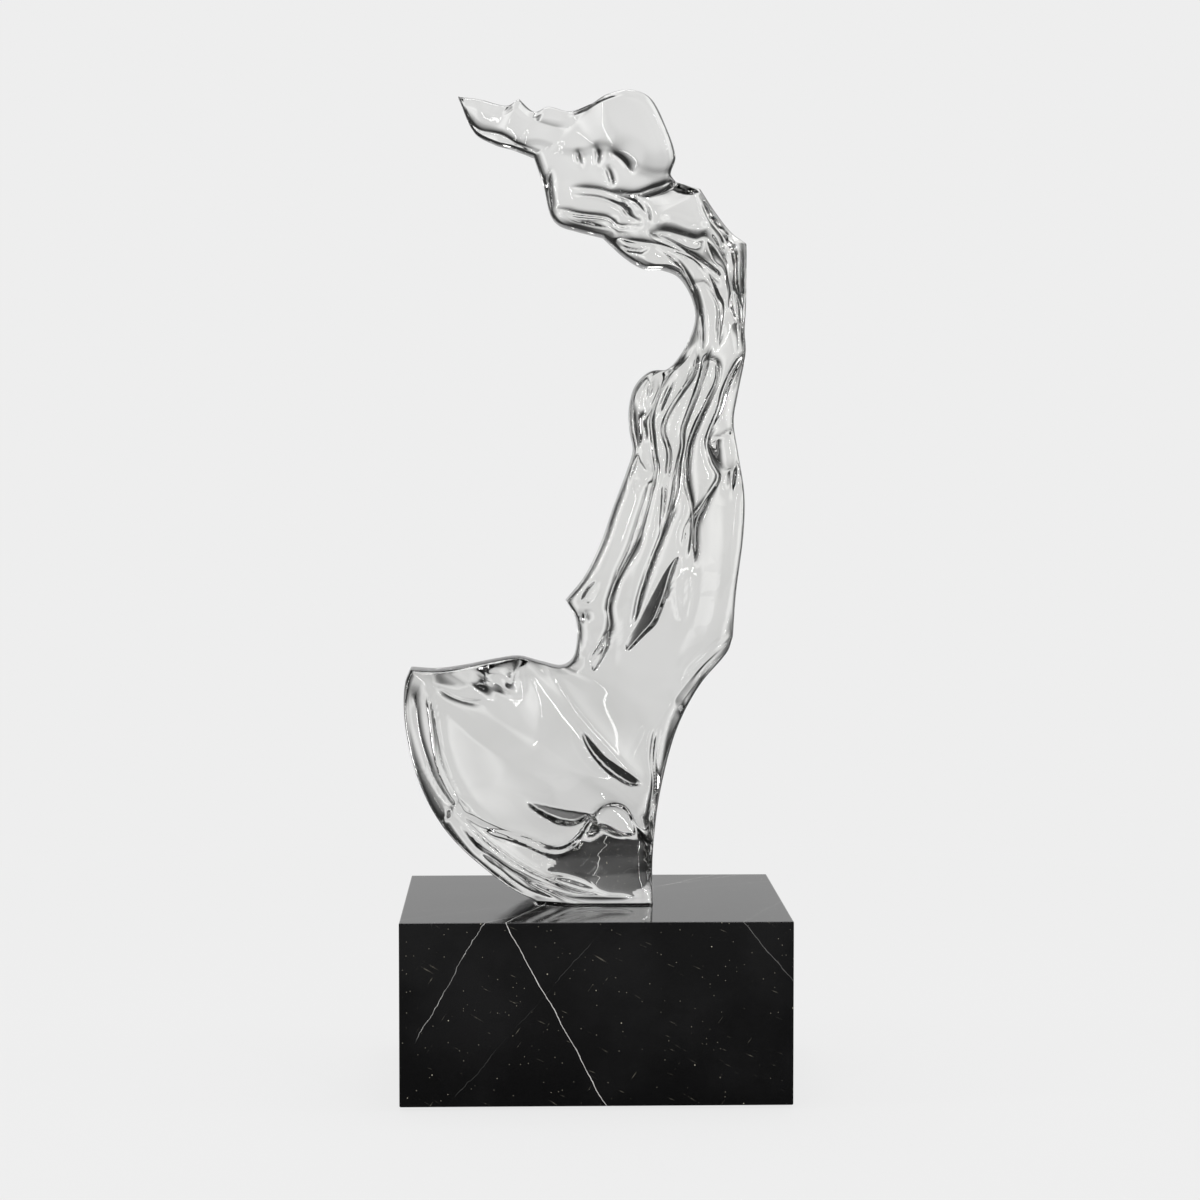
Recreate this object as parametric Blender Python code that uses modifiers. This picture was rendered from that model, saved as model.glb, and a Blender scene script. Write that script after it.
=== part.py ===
"""Abstract clear resin sculpture on a polished black marble plinth.

The clear form is a free-standing wave that rises from a small foot, leans over as a fluted
stem and ends in a rounded crown with a pointed bill. It is one casting, so it is one loft:
ribs run from a left outline to a right outline, and each rib has a front and a back
surface that swell, scoop and crease between the two.

Sizes are millimetres until the meshes are made. The form is drawn in its own frame: x to
the right, height above the face of its foot, y away from the viewer.
"""

import math

import bmesh
import bpy
import numpy as np

MM = 0.001

# The plinth and the felt pads under it
PLINTH_WIDTH = 200.0
PLINTH_DEPTH = 160.0
PLINTH_HEIGHT = 94.0
PLINTH_ARRIS = 0.8
PAD_DIAMETER = 22.0
PAD_THICKNESS = 1.5
PAD_INSET = 10.0
PAD_SIDES = 32

# The bond between plinth and form
BOND_THICKNESS = 0.6
BOND_MARGIN = 3.0
SEAT_GAP = 0.3

# The form: its overall sizes, to which the outlines below are stretched
FORM_WIDTH = 181.5
FORM_HEIGHT = 425.5
FORM_DEPTH = 56.0
FORM_OFFSET_X = 0.0
FORM_OFFSET_Y = 0.0

# How finely the loft is sampled, and how many triangles of it are kept
ROW_STEP = 1.5
COLUMNS = 64
FORM_TRIANGLES = 12000
LEAST_SWELL = 2.5

# Colours: red, green, blue, alpha
MARBLE_COLOUR = (0.012, 0.012, 0.013, 1.0)
RESIN_COLOUR = (0.93, 0.94, 0.93, 0.35)
FELT_COLOUR = (0.03, 0.03, 0.03, 1.0)
BOND_COLOUR = (0.92, 0.93, 0.92, 0.4)

# Outline points are (x, height, mark). A rib joins the two outlines at each "rib" mark,
# and "corner" breaks the smooth curve.
LEFT_OUTLINE = [
    # foot, and up the rim of the wave
    (-32.0, 0.0, "rib corner"),
    (-42.0, 5.0, ""),
    (-55.0, 14.5, ""),
    (-72.5, 30.5, ""),
    (-84.5, 46.5, ""),
    (-93.3, 66.0, ""),
    (-98.6, 88.0, ""),
    (-100.0, 104.0, ""),
    (-99.1, 116.0, ""),
    (-96.2, 123.2, "rib corner"),
    # the lip of the wave
    (-83.0, 122.4, ""),
    (-68.0, 124.2, ""),
    (-50.0, 127.6, ""),
    (-39.0, 128.6, "rib"),
    (-28.0, 125.3, ""),
    (-17.0, 122.7, "rib"),
    # the knee and the thorn
    (-10.5, 127.0, ""),
    (-8.3, 139.0, "rib"),
    (-9.5, 149.0, ""),
    (-14.5, 158.0, "rib corner"),
    # the stem
    (-4.5, 170.5, ""),
    (4.0, 187.5, ""),
    (11.0, 207.5, ""),
    (18.5, 227.5, ""),
    (21.3, 237.5, "rib"),
    # the knuckle
    (19.6, 248.0, ""),
    (19.3, 260.0, ""),
    (22.5, 271.5, ""),
    (30.0, 279.0, ""),
    (38.0, 279.8, ""),
    (43.0, 283.2, "rib"),
    # the hollow of the neck
    (50.5, 294.5, ""),
    (54.8, 307.5, "rib"),
    (52.5, 319.0, ""),
    (45.5, 329.5, ""),
    (36.0, 333.2, ""),
    (27.0, 333.6, "rib"),
    (17.5, 338.7, ""),
    (5.0, 349.5, "rib corner"),
    # under the crown
    (-9.0, 352.7, ""),
    (-18.0, 355.6, ""),
    (-22.5, 361.0, "rib"),
    (-26.0, 375.5, ""),
    (-31.0, 390.0, "rib corner"),
    # under the bill
    (-42.0, 394.0, "rib"),
    (-51.0, 396.4, "rib"),
    (-62.0, 402.5, "rib"),
    (-70.3, 420.1, "rib corner"),
]

RIGHT_OUTLINE = [
    # foot and waist of the wave
    (31.8, 0.0, "rib corner"),
    (31.6, 18.0, ""),
    (32.8, 34.0, "rib"),
    (36.3, 56.0, "rib"),
    (42.0, 80.0, ""),
    (48.0, 96.0, "rib"),
    (58.5, 114.0, ""),
    (72.0, 130.0, ""),
    (75.0, 138.5, "rib corner"),
    # the back of the stem
    (76.6, 162.0, "rib"),
    (80.3, 192.0, ""),
    (80.8, 214.0, ""),
    (77.2, 237.0, "rib"),
    (74.9, 253.0, ""),
    (77.0, 267.0, ""),
    (81.0, 289.0, "rib"),
    (80.4, 300.0, ""),
    (81.0, 314.0, "rib"),
    (81.5, 346.0, "corner"),
    (73.5, 352.4, "rib"),
    (65.0, 363.0, ""),
    (57.0, 375.0, "rib corner"),
    # the crown
    (43.8, 378.3, "rib corner"),
    (41.0, 382.2, ""),
    (43.4, 391.0, ""),
    (37.6, 408.0, ""),
    (30.0, 421.3, ""),
    (19.3, 425.5, ""),
    (8.0, 423.0, ""),
    (0.0, 418.2, "rib corner"),
    # the bill
    (-12.0, 414.0, ""),
    (-23.5, 416.3, ""),
    (-30.5, 413.6, "rib"),
    (-38.7, 420.2, "rib corner"),
    (-45.0, 416.7, ""),
    (-60.0, 420.0, "rib"),
    (-70.1, 420.9, "rib corner"),
]

# One row for each rib: front swell, back swell, left edge y, right edge y,
# left edge width, left roundness, right edge width, right roundness
RIB_SHAPES = [
    (22.0, 22.0, 0.0, 0.0, 22.0, 0.6, 10.0, 0.7),  # foot
    (18.0, 17.0, -13.0, 1.0, 14.0, 0.7, 8.0, 0.7),  # tip of the wave
    (16.0, 17.0, -5.0, 4.0, 16.0, 0.5, 8.0, 0.6),  # lip of the wave
    (15.0, 17.0, 3.0, 6.0, 8.0, 0.75, 9.0, 0.8),  # where the lip meets the stem
    (15.0, 16.0, 2.0, 8.0, 5.0, 0.85, 9.0, 0.8),  # knee of the stem
    (15.0, 16.0, -2.0, 8.0, 5.0, 0.9, 5.0, 0.85),  # thorn
    (14.0, 14.0, 3.0, 6.0, 5.0, 0.85, 5.0, 0.85),  # under the knuckle
    (13.0, 13.0, 6.0, 2.0, 6.0, 0.7, 5.0, 0.8),  # over the knuckle
    (12.0, 13.0, 7.0, 0.0, 4.0, 0.9, 5.0, 0.8),  # neck
    (13.0, 14.0, 4.0, 4.0, 5.0, 0.75, 5.0, 0.8),  # bend of the neck
    (12.0, 13.0, 0.0, 3.0, 6.0, 0.65, 5.0, 0.8),  # shoulder
    (10.0, 11.0, -6.0, -3.0, 5.0, 0.75, 4.0, 0.85),  # under the crown
    (8.0, 8.0, -10.0, -8.0, 5.0, 0.8, 4.0, 0.85),  # root of the bill
    (7.0, 8.0, -12.0, -11.0, 4.0, 0.8, 5.0, 0.8),  # bill
    (6.0, 7.0, -13.0, -12.0, 4.0, 0.8, 6.0, 0.7),  # crest on the bill
    (4.5, 5.0, -14.0, -13.0, 4.0, 0.75, 6.0, 0.7),  # fore part of the bill
    (2.6, 2.6, -15.0, -15.0, 3.0, 0.5, 3.0, 0.5),  # point
]
RIM_RADIUS = 1.8
EDGE_RADIUS = 1.9

# Panels raised from the surfaces, or sunk into them where the rise is negative: front rise,
# back rise, run over which it rises from its outline, roundness, flatness, closed outline
PANELS = [
    # bowl of the wave
    (-4.5, 0.0, 32.0, 0.1, 0.0, [
        (-84, 113), (-83, 92), (-79, 72), (-73, 59), (-66, 48), (-50, 41), (-30, 37),
        (-17, 35), (-7, 40), (5, 51), (24, 58), (14, 74), (-6, 99), (-22, 118), (-34, 128),
        (-42, 122), (-42, 108), (-54, 106), (-68, 106)]),
    # mound over the foot, with the grey facet behind it
    (3.2, 0.0, 4.0, 0.4, 0.0, [
        (-78, 46), (-67, 47), (-58, 43), (-46, 39), (-34, 35), (-24, 30), (-16, 30),
        (-9, 35), (-3, 43), (3, 50), (10, 52), (17, 50), (22, 42), (27, 34), (36, 24),
        (60, -40), (-100, -40)]),
    (0.0, -4.0, 14.0, 0.0, 1.0, [
        (-28, 18), (-14, 27), (-5, 35), (0, 41), (7, 38), (14, 33), (21, 33), (25, 30),
        (24, 20), (22, 8), (9, 9), (-7, 12), (-20, 15)]),
    # pit behind the smooth foot of the stem
    (-5.5, 0.0, 5.0, 0.0, 1.0, [
        (44, 181), (41, 171), (39, 162), (36, 153), (33, 146), (27, 140), (18, 132), (18, 142),
        (24, 151), (28, 160), (36, 171)]),
    # dark sliver at the foot of the bowl
    (0.0, -2.9, 3.5, 0.0, 1.0, [
        (-32, 52), (-26, 50), (-17, 48), (-4, 46), (-1, 44), (-4, 42), (-13, 41), (-23, 43),
        (-29, 48)]),
    # crown and band of the bill
    (1.1, 0.5, 3.5, 0.1, 0.3, [
        (-80, 425), (-67, 411), (-60, 405), (-48, 401), (-38, 396), (-28, 396), (-16, 392),
        (-5, 392), (2, 395), (9, 394), (18, 387), (25, 383), (34, 381), (46, 384), (56, 400),
        (56, 450), (-80, 450)]),
    # lens of the crown
    (1.8, 1.2, 18.0, 0.0, 0.0, [
        (-12, 430), (-8, 404), (4, 390), (12, 387), (24, 380), (38, 380), (56, 392), (56, 430),
        (30, 450), (4, 450)]),
    # flat of the shoulder
    (-4.0, 0.0, 4.0, 0.3, 0.3, [
        (30, 357), (41, 358), (49, 355), (57, 354), (61, 355), (66, 349), (70, 344), (90, 366),
        (60, 400), (46, 384), (38, 377), (30, 374), (22, 371), (27, 364)]),
    # facets of the knuckle
    (-3.0, -2.0, 4.0, 0.0, 1.0, [(18, 222), (23, 237), (29, 233), (33, 224), (26, 222)]),
]

# Creases along the form: front depth, back depth, half width, points of the line. A positive
# depth sinks in, a negative one stands up as a ridge.
CREASES = [
    # valley between wave and stem, and the sharp fold at its foot
    (5.5, 0.0, 9.0, [(-42, 136), (-25, 121), (-7, 98), (14, 74), (30, 54), (40, 36)]),
    (3.7, 0.0, 1.2, [(-8, 92), (0, 80), (9, 71), (18, 65), (27, 59)]),
    # lines along the rim of the wave
    (2.7, 0.0, 1.2, [
        (-94, 114), (-92, 92), (-87, 74), (-79, 58), (-62, 39), (-38, 20), (-12, 8), (10, 3)]),
    (2.7, 0.0, 1.2, [(-86, 118), (-83, 101), (-78, 72), (-68, 50)]),
    (2.7, 0.0, 1.2, [(-62, 30), (-47, 19), (-32, 8), (-14, 0)]),
    (2.4, 0.0, 1.2, [(-60, 40), (-48, 37), (-36, 32), (-22, 26), (-11, 29), (-3, 39)]),
    (0.0, 2.7, 1.4, [(-91, 112), (-88, 86), (-74, 54), (-50, 28), (-22, 10)]),
    # strip along the waist
    (2.8, 0.0, 1.2, [(34, 96), (31, 77), (32, 60), (30, 42), (30, 24), (29, 5)]),
    # lip of the wave
    (2.8, 0.0, 1.2, [(-87, 118), (-76, 110), (-64, 106), (-52, 107)]),
    (2.8, 1.9, 1.2, [(-41, 126), (-43, 115), (-41, 104)]),
    # knee and thorn
    (3.2, 2.2, 1.2, [(6, 143), (0, 130), (-1, 120)]),
    (3.0, 2.2, 1.2, [(-5, 155), (-4, 150), (-5, 145)]),
    # flutes of the stem
    (3.7, 2.2, 1.2, [
        (34, 234), (32, 221), (27, 202), (21, 186), (13, 171), (8, 156), (8, 142), (-4, 123)]),
    (3.5, 1.6, 1.2, [(55, 292), (53, 279), (47, 269), (40, 258), (37, 248), (40, 235), (38, 218)]),
    (3.7, 2.2, 1.2, [
        (63, 294), (59, 284), (55, 270), (50, 257), (47, 248), (47, 239), (45, 229), (43, 213),
        (38, 197)]),
    (3.7, 2.2, 1.2, [(44, 230), (42, 214), (38, 199), (29, 176), (24, 160), (22, 150), (19, 140)]),
    (3.7, 2.2, 1.2, [
        (57, 278), (60, 285), (65, 283), (65, 274), (60, 263), (54, 250), (50, 238), (49, 222),
        (53, 201), (50, 176)]),
    (3.7, 0.0, 1.2, [
        (80, 291), (73, 279), (69, 270), (66, 259), (61, 246), (60, 239), (63, 230), (66, 223),
        (60, 213), (54, 202), (49, 190)]),
    (3.7, 2.2, 1.2, [(47, 290), (43, 282), (37, 272), (31, 256), (31, 246), (34, 222)]),
    (3.4, 0.0, 1.2, [(18, 224), (26, 218), (36, 222)]),
    # knuckle and the knot on the back of the stem
    (0.0, 2.6, 1.2, [(24, 275), (21, 264), (25, 256), (26, 244), (31, 235)]),
    (3.4, 0.0, 1.2, [(57, 243), (67, 244), (76, 251)]),
    (3.6, 2.7, 1.6, [(76, 235), (73, 223), (72, 210)]),
    # facet below the back of the stem
    (2.0, 0.0, 1.2, [(75, 143), (61, 132), (52, 123), (45, 112)]),
    # broad soft flutes low on the stem
    (0.9, 0.0, 3.0, [(29, 212), (22, 182), (16, 158), (12, 138), (9, 116)]),
    (0.8, 0.0, 3.0, [(58, 206), (57, 176), (51, 148), (40, 122)]),
    (-0.7, 0.0, 3.0, [(69, 216), (69, 184), (66, 156), (58, 134)]),
    # strands of the neck
    (2.6, 1.6, 1.2, [(30, 345), (37, 342), (46, 335), (53, 322), (57, 304), (57, 286)]),
    (2.6, 0.0, 1.2, [(48, 344), (57, 335), (63, 324), (67, 308), (65, 288)]),
    (2.6, 1.6, 1.2, [(60, 354), (69, 338), (72, 326), (77, 314), (78, 296)]),
    (2.6, 0.0, 1.2, [(55, 373), (62, 358), (69, 349), (73, 337), (73, 322), (72, 311), (78, 301)]),
    # folds of the shoulder
    (3.5, 0.0, 1.2, [(9, 350), (21, 347), (35, 345), (50, 340), (59, 335), (68, 328)]),
    (0.0, 1.6, 1.2, [(20, 350), (38, 350), (54, 344), (66, 334), (72, 318)]),
    # slab under the crown
    (2.7, 1.9, 1.2, [(-22, 386), (-24, 372), (-21, 360)]),
    (3.2, 0.0, 1.2, [(-23, 364), (-9, 361), (7, 359), (14, 355), (30, 355)]),
    # stalk and leaf on it
    (3.4, 0.0, 1.2, [(-15, 373), (-9, 372), (3, 371), (14, 368), (21, 364), (28, 357)]),
    (-1.9, 0.0, 1.3, [(12, 368), (18, 366), (24, 359)]),
    # under the crown
    (3.2, 2.0, 1.2, [(7, 374), (19, 371), (30, 374), (38, 377), (46, 384)]),
    (2.2, 0.0, 1.2, [(9, 394), (12, 391), (18, 386), (25, 383), (34, 381)]),
    # bill
    (1.6, 1.2, 1.2, [(-67, 411), (-60, 404), (-48, 401), (-39, 396), (-29, 393)]),
]
CREASE_FADE = 12.0
SHORT_FADE = 0.4
HOLLOW_SHARE = 0.28
HOLLOW_SPREAD = 4.0

# Length over which the shapes of neighbouring ribs run into each other
RIB_BLEND = 26.0


def soft_max(a, b, radius):
    """The larger of two heights, with the crease between them rounded to that radius."""
    reach = np.clip(0.5 + 0.5 * (a - b) / radius, 0.0, 1.0)
    return b + (a - b) * reach + radius * reach * (1.0 - reach)


def sample_outline(points, rows_between_ribs):
    """Points along a smooth outline, with the given number of rows from each rib to the next."""
    place = np.array([(x, height) for x, height, _ in points], float)
    corner = ["corner" in mark for _, _, mark in points]
    ribs = [i for i, (_, _, mark) in enumerate(points) if "rib" in mark]
    chord = np.concatenate([[0.0], np.cumsum(np.linalg.norm(np.diff(place, axis=0), axis=1))])

    def tangent(i, forward):
        last = len(place) - 1
        before, after = max(i - 1, 0), min(i + 1, last)
        if corner[i]:
            before, after = (i, after) if forward else (before, i)
        return (place[after] - place[before]) / (chord[after] - chord[before])

    found = []
    for rib, (start, end) in enumerate(zip(ribs[:-1], ribs[1:])):
        rows = rows_between_ribs[rib]
        for at in np.linspace(chord[start], chord[end], rows, endpoint=False):
            i = int(np.clip(np.searchsorted(chord, at, side="right") - 1, start, end - 1))
            span = chord[i + 1] - chord[i]
            t = (at - chord[i]) / span
            found.append(
                (2 * t**3 - 3 * t**2 + 1) * place[i]
                + (t**3 - 2 * t**2 + t) * span * tangent(i, True)
                + (3 * t**2 - 2 * t**3) * place[i + 1]
                + (t**3 - t**2) * span * tangent(i + 1, False)
            )
    found.append(place[-1])
    return np.array(found)


def rows_for(left, right):
    """How many rows the loft has from each rib to the next, from the longer outline there."""
    def lengths(points):
        place = np.array([(x, height) for x, height, _ in points], float)
        chord = np.concatenate([[0.0], np.cumsum(np.linalg.norm(np.diff(place, axis=0), axis=1))])
        ribs = [i for i, (_, _, mark) in enumerate(points) if "rib" in mark]
        return np.diff(chord[ribs])

    longest = np.maximum(lengths(left), lengths(right))
    return [max(3, math.ceil(length / ROW_STEP)) for length in longest]


def along_ribs(values, rows_between_ribs):
    """A value given at each rib, blended over the rows between them."""
    at_rib = np.concatenate([[0], np.cumsum(rows_between_ribs)])
    straight = np.interp(np.arange(at_rib[-1] + 1), at_rib, values)
    reach = round(RIB_BLEND / 2 / ROW_STEP)
    window = np.hanning(2 * reach + 3)[1:-1]
    return np.convolve(np.pad(straight, reach, mode="edge"), window / window.sum(), mode="valid")


def edge_profile(distance, width, roundness):
    """Share of its full swell a surface has near an edge: first rounded, then a facet."""
    t = np.clip(distance / width, 0.0, 1.0)
    u = np.clip(distance / np.minimum(EDGE_RADIUS, width), 0.0, 1.0)
    return roundness * np.sqrt(u * (2.0 - u)) + (1.0 - roundness) * t


def smooth_line(points, closed):
    """A smooth line through the given points, as short straight steps."""
    place = np.array(points, float)
    count = len(place)
    steps = count if closed else count - 1
    found = []
    for i in range(steps):
        around = [(i + k) % count if closed else min(max(i + k, 0), count - 1) for k in (-1, 0, 1, 2)]
        before, start, end, after = place[around]
        for t in np.linspace(0.0, 1.0, 6, endpoint=False):
            found.append(
                start
                + 0.5 * t * (end - before)
                + t * t * (before - 2.5 * start + 2 * end - 0.5 * after)
                + t**3 * (1.5 * (start - end) + 0.5 * (after - before))
            )
    return np.array(found if closed else [*found, place[-1]])


def depth_inside(x, height, outline):
    """Distance inside a closed line, negative outside it."""
    away = np.full(x.shape, np.inf)
    inside = np.zeros(x.shape, bool)
    for (x0, h0), (x1, h1) in zip(outline, np.roll(outline, -1, axis=0)):
        dx, dh = x1 - x0, h1 - h0
        at = np.clip(((x - x0) * dx + (height - h0) * dh) / (dx * dx + dh * dh), 0.0, 1.0)
        away = np.minimum(away, np.hypot(x - x0 - at * dx, height - h0 - at * dh))
        crosses = (h0 > height) != (h1 > height)
        inside ^= crosses & (x < x0 + (height - h0) * dx / (dh if dh else 1e-9))
    return np.where(inside, away, -away)


def crease_relief(x, height, half_width, line):
    """1 on the crease's line and 0 away from it, fading out at both ends."""
    line = smooth_line(line, closed=False)
    lengths = np.linalg.norm(np.diff(line, axis=0), axis=1)
    start_of = np.concatenate([[0.0], np.cumsum(lengths)])
    nearest = np.full(x.shape, np.inf)
    travel = np.zeros(x.shape)
    for i, length in enumerate(lengths):
        direction = (line[i + 1] - line[i]) / length
        at = np.clip((x - line[i][0]) * direction[0] + (height - line[i][1]) * direction[1], 0, length)
        away = np.hypot(x - line[i][0] - at * direction[0], height - line[i][1] - at * direction[1])
        closer = away < nearest
        nearest = np.where(closer, away, nearest)
        travel = np.where(closer, start_of[i] + at, travel)
    reach = min(CREASE_FADE, SHORT_FADE * start_of[-1])
    fade = np.clip(np.minimum(travel, start_of[-1] - travel) / reach, 0.0, 1.0)
    groove = np.exp(0.3 - np.hypot(nearest / half_width, 0.3))
    hollow = np.exp(0.3 - np.hypot(nearest / half_width / HOLLOW_SPREAD, 0.3))
    return (groove + (hollow - groove) * HOLLOW_SHARE) * fade * fade * (3 - 2 * fade)


def panel_profile(inside, run, roundness, flatness):
    """Share of its rise a panel has inside its outline: part rounded, part flat, part eased."""
    t = np.clip(inside / run, 0.0, 1.0)
    return (roundness * np.sqrt(t * (2.0 - t)) + flatness * t
            + (1.0 - roundness - flatness) * t * t * (3.0 - 2.0 * t))


def surface_swells(x, height, front_swell, back_swell):
    """How far each surface stands from the form's middle, before its edges are drawn in."""
    front, back = front_swell + 0.0 * x, back_swell + 0.0 * x
    for front_rise, back_rise, run, roundness, flatness, outline in PANELS:
        inside = depth_inside(x, height, smooth_line(outline, closed=True))
        relief = panel_profile(inside, run, roundness, flatness)
        front, back = front + front_rise * relief, back + back_rise * relief
    for front_depth, back_depth, half_width, line in CREASES:
        relief = crease_relief(x, height, half_width, line)
        front, back = front - front_depth * relief, back - back_depth * relief
    return soft_max(front, LEAST_SWELL, LEAST_SWELL), soft_max(back, LEAST_SWELL, LEAST_SWELL)


def form_grid():
    """The form's front and back points as two grids, rows by columns by three, in millimetres."""
    rows = rows_for(LEFT_OUTLINE, RIGHT_OUTLINE)
    left = sample_outline(LEFT_OUTLINE, rows)
    right = sample_outline(RIGHT_OUTLINE, rows)
    shape = [along_ribs(column, rows)[:, None] for column in np.array(RIB_SHAPES).T]
    front_swell, back_swell, left_y, right_y, left_width, left_round, right_width, right_round = shape

    share = 0.5 - 0.5 * np.cos(np.linspace(0.0, math.pi, COLUMNS + 1))[None, :]
    x = left[:, :1] + (right[:, :1] - left[:, :1]) * share
    height = left[:, 1:] + (right[:, 1:] - left[:, 1:]) * share
    middle = left_y + (right_y - left_y) * share
    across = np.linalg.norm(right - left, axis=1)[:, None]
    left_edge = edge_profile(across * share, np.minimum(left_width, 0.5 * across), left_round)
    right_edge = edge_profile(
        across * (1.0 - share), np.minimum(right_width, 0.5 * across), right_round)
    edges = left_edge * right_edge
    from_edge = across * np.minimum(share, 1.0 - share)
    rim = RIM_RADIUS * edge_profile(from_edge, np.minimum(RIM_RADIUS, 0.5 * across), 1.0)

    front_rise, back_rise = surface_swells(x, height, front_swell, back_swell)
    front = middle - rim - edges * front_rise
    back = middle + rim + edges * back_rise
    drawn = np.stack([np.stack([x, y, height], axis=-1) for y in (front, back)])
    extent = drawn.max(axis=(0, 1, 2)) - drawn.min(axis=(0, 1, 2))
    return drawn * np.array([FORM_WIDTH, FORM_DEPTH, FORM_HEIGHT]) / extent


def material(name, colour, roughness, transmission=0.0):
    made = bpy.data.materials.new(name)
    made.use_nodes = True
    shader = made.node_tree.nodes["Principled BSDF"]
    shader.inputs["Base Color"].default_value = colour
    shader.inputs["Roughness"].default_value = roughness
    shader.inputs["Metallic"].default_value = 0.0
    shader.inputs["Transmission Weight"].default_value = transmission
    made.diffuse_color = colour
    return made


def add_object(name, mesh, made_of, collection):
    obj = bpy.data.objects.new(name, mesh)
    mesh.materials.append(made_of)
    collection.objects.link(obj)
    return obj


def make_form(collection, made_of, seat_height):
    """The clear casting: a loft of ribs between the two outlines, closed under the foot."""
    front, back = form_grid()
    rows, columns = front.shape[:2]
    bm = bmesh.new()
    front_points = [[bm.verts.new(p * MM) for p in row] for row in front]
    back_points = [
        [row[0], *(bm.verts.new(p * MM) for p in back[i][1:-1]), row[-1]]
        for i, row in enumerate(front_points)
    ]
    for i in range(rows - 1):
        front_row, next_front = front_points[i], front_points[i + 1]
        back_row, next_back = back_points[i], back_points[i + 1]
        for j in range(columns - 1):
            bm.faces.new([front_row[j], front_row[j + 1], next_front[j + 1], next_front[j]])
            bm.faces.new([back_row[j + 1], back_row[j], next_back[j], next_back[j + 1]])
    for ring, flipped in ((0, False), (rows - 1, True)):
        loop = [*front_points[ring], *reversed(back_points[ring][1:-1])]
        bm.faces.new(loop if flipped else list(reversed(loop)))
    bmesh.ops.recalc_face_normals(bm, faces=bm.faces)
    bmesh.ops.triangulate(bm, faces=bm.faces)
    mesh = bpy.data.meshes.new("clear_form")
    bm.to_mesh(mesh)
    bm.free()
    form = add_object("clear_form", mesh, made_of, collection)
    form.location = (FORM_OFFSET_X * MM, FORM_OFFSET_Y * MM, seat_height * MM)
    thin = form.modifiers.new("thin", "DECIMATE")
    thin.ratio = min(1.0, FORM_TRIANGLES / len(mesh.polygons))
    mesh.shade_smooth()
    return form


def foot_outline():
    """The foot's outline on the bond, as (x, y) points in millimetres."""
    front, back = form_grid()
    return [(p[0], p[1]) for p in [*front[0], *back[0][-2:0:-1]]]


def make_bond(collection, made_of, seat_height):
    """The thin film of clear adhesive, drawn in from the edge of the foot all round."""
    outline = np.array(foot_outline())
    centre = (outline.min(axis=0) + outline.max(axis=0)) / 2
    half = (outline.max(axis=0) - outline.min(axis=0)) / 2
    drawn_in = centre + (outline - centre) * (1 - BOND_MARGIN / half.min())
    bm = bmesh.new()
    floor = [bm.verts.new((x * MM, y * MM, 0.0)) for x, y in drawn_in[::3]]
    face = bm.faces.new(floor)
    top = bmesh.ops.extrude_face_region(bm, geom=[face])
    raised = [v for v in top["geom"] if isinstance(v, bmesh.types.BMVert)]
    bmesh.ops.translate(bm, verts=raised, vec=(0, 0, BOND_THICKNESS * MM))
    bmesh.ops.recalc_face_normals(bm, faces=bm.faces)
    mesh = bpy.data.meshes.new("bond_film")
    bm.to_mesh(mesh)
    bm.free()
    bond = add_object("bond_film", mesh, made_of, collection)
    bond.location = (FORM_OFFSET_X * MM, FORM_OFFSET_Y * MM, seat_height * MM)
    return bond


def make_plinth(collection, made_of):
    """The solid marble block, with the fine arris that polishing leaves on its edges."""
    bm = bmesh.new()
    bmesh.ops.create_cube(bm, size=1.0)
    bmesh.ops.scale(bm, vec=(PLINTH_WIDTH * MM, PLINTH_DEPTH * MM, PLINTH_HEIGHT * MM), verts=bm.verts)
    mesh = bpy.data.meshes.new("marble_plinth")
    bm.to_mesh(mesh)
    bm.free()
    plinth = add_object("marble_plinth", mesh, made_of, collection)
    plinth.location = (0.0, 0.0, (PAD_THICKNESS + SEAT_GAP + PLINTH_HEIGHT / 2) * MM)
    arris = plinth.modifiers.new("arris", "BEVEL")
    arris.width = PLINTH_ARRIS * MM
    arris.segments = 2
    return plinth


def make_pad(name, side_x, side_y, collection, made_of):
    """One felt disc under a corner of the plinth."""
    bm = bmesh.new()
    bmesh.ops.create_cone(
        bm, cap_ends=True, segments=PAD_SIDES,
        radius1=PAD_DIAMETER / 2 * MM, radius2=PAD_DIAMETER / 2 * MM, depth=PAD_THICKNESS * MM,
    )
    mesh = bpy.data.meshes.new(name)
    bm.to_mesh(mesh)
    bm.free()
    pad = add_object(name, mesh, made_of, collection)
    pad.location = (
        side_x * (PLINTH_WIDTH / 2 - PAD_INSET - PAD_DIAMETER / 2) * MM,
        side_y * (PLINTH_DEPTH / 2 - PAD_INSET - PAD_DIAMETER / 2) * MM,
        PAD_THICKNESS / 2 * MM,
    )
    return pad


def main():
    for obj in list(bpy.data.objects):
        bpy.data.objects.remove(obj)
    collection = bpy.data.collections.new("resin_sculpture")
    bpy.context.scene.collection.children.link(collection)

    marble = material("black_marble", MARBLE_COLOUR, 0.08)
    resin = material("clear_resin", RESIN_COLOUR, 0.0, transmission=1.0)
    felt = material("felt", FELT_COLOUR, 0.95)
    adhesive = material("clear_adhesive", BOND_COLOUR, 0.1, transmission=1.0)

    plinth_top = PAD_THICKNESS + SEAT_GAP + PLINTH_HEIGHT
    bond_floor = plinth_top + SEAT_GAP
    form_floor = bond_floor + BOND_THICKNESS + SEAT_GAP

    make_plinth(collection, marble)
    make_bond(collection, adhesive, bond_floor)
    make_form(collection, resin, form_floor)
    for name, side_x, side_y in (
        ("felt_pad_front_left", -1, -1),
        ("felt_pad_front_right", 1, -1),
        ("felt_pad_back_left", -1, 1),
        ("felt_pad_back_right", 1, 1),
    ):
        make_pad(name, side_x, side_y, collection, felt)


main()
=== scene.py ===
import math

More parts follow.
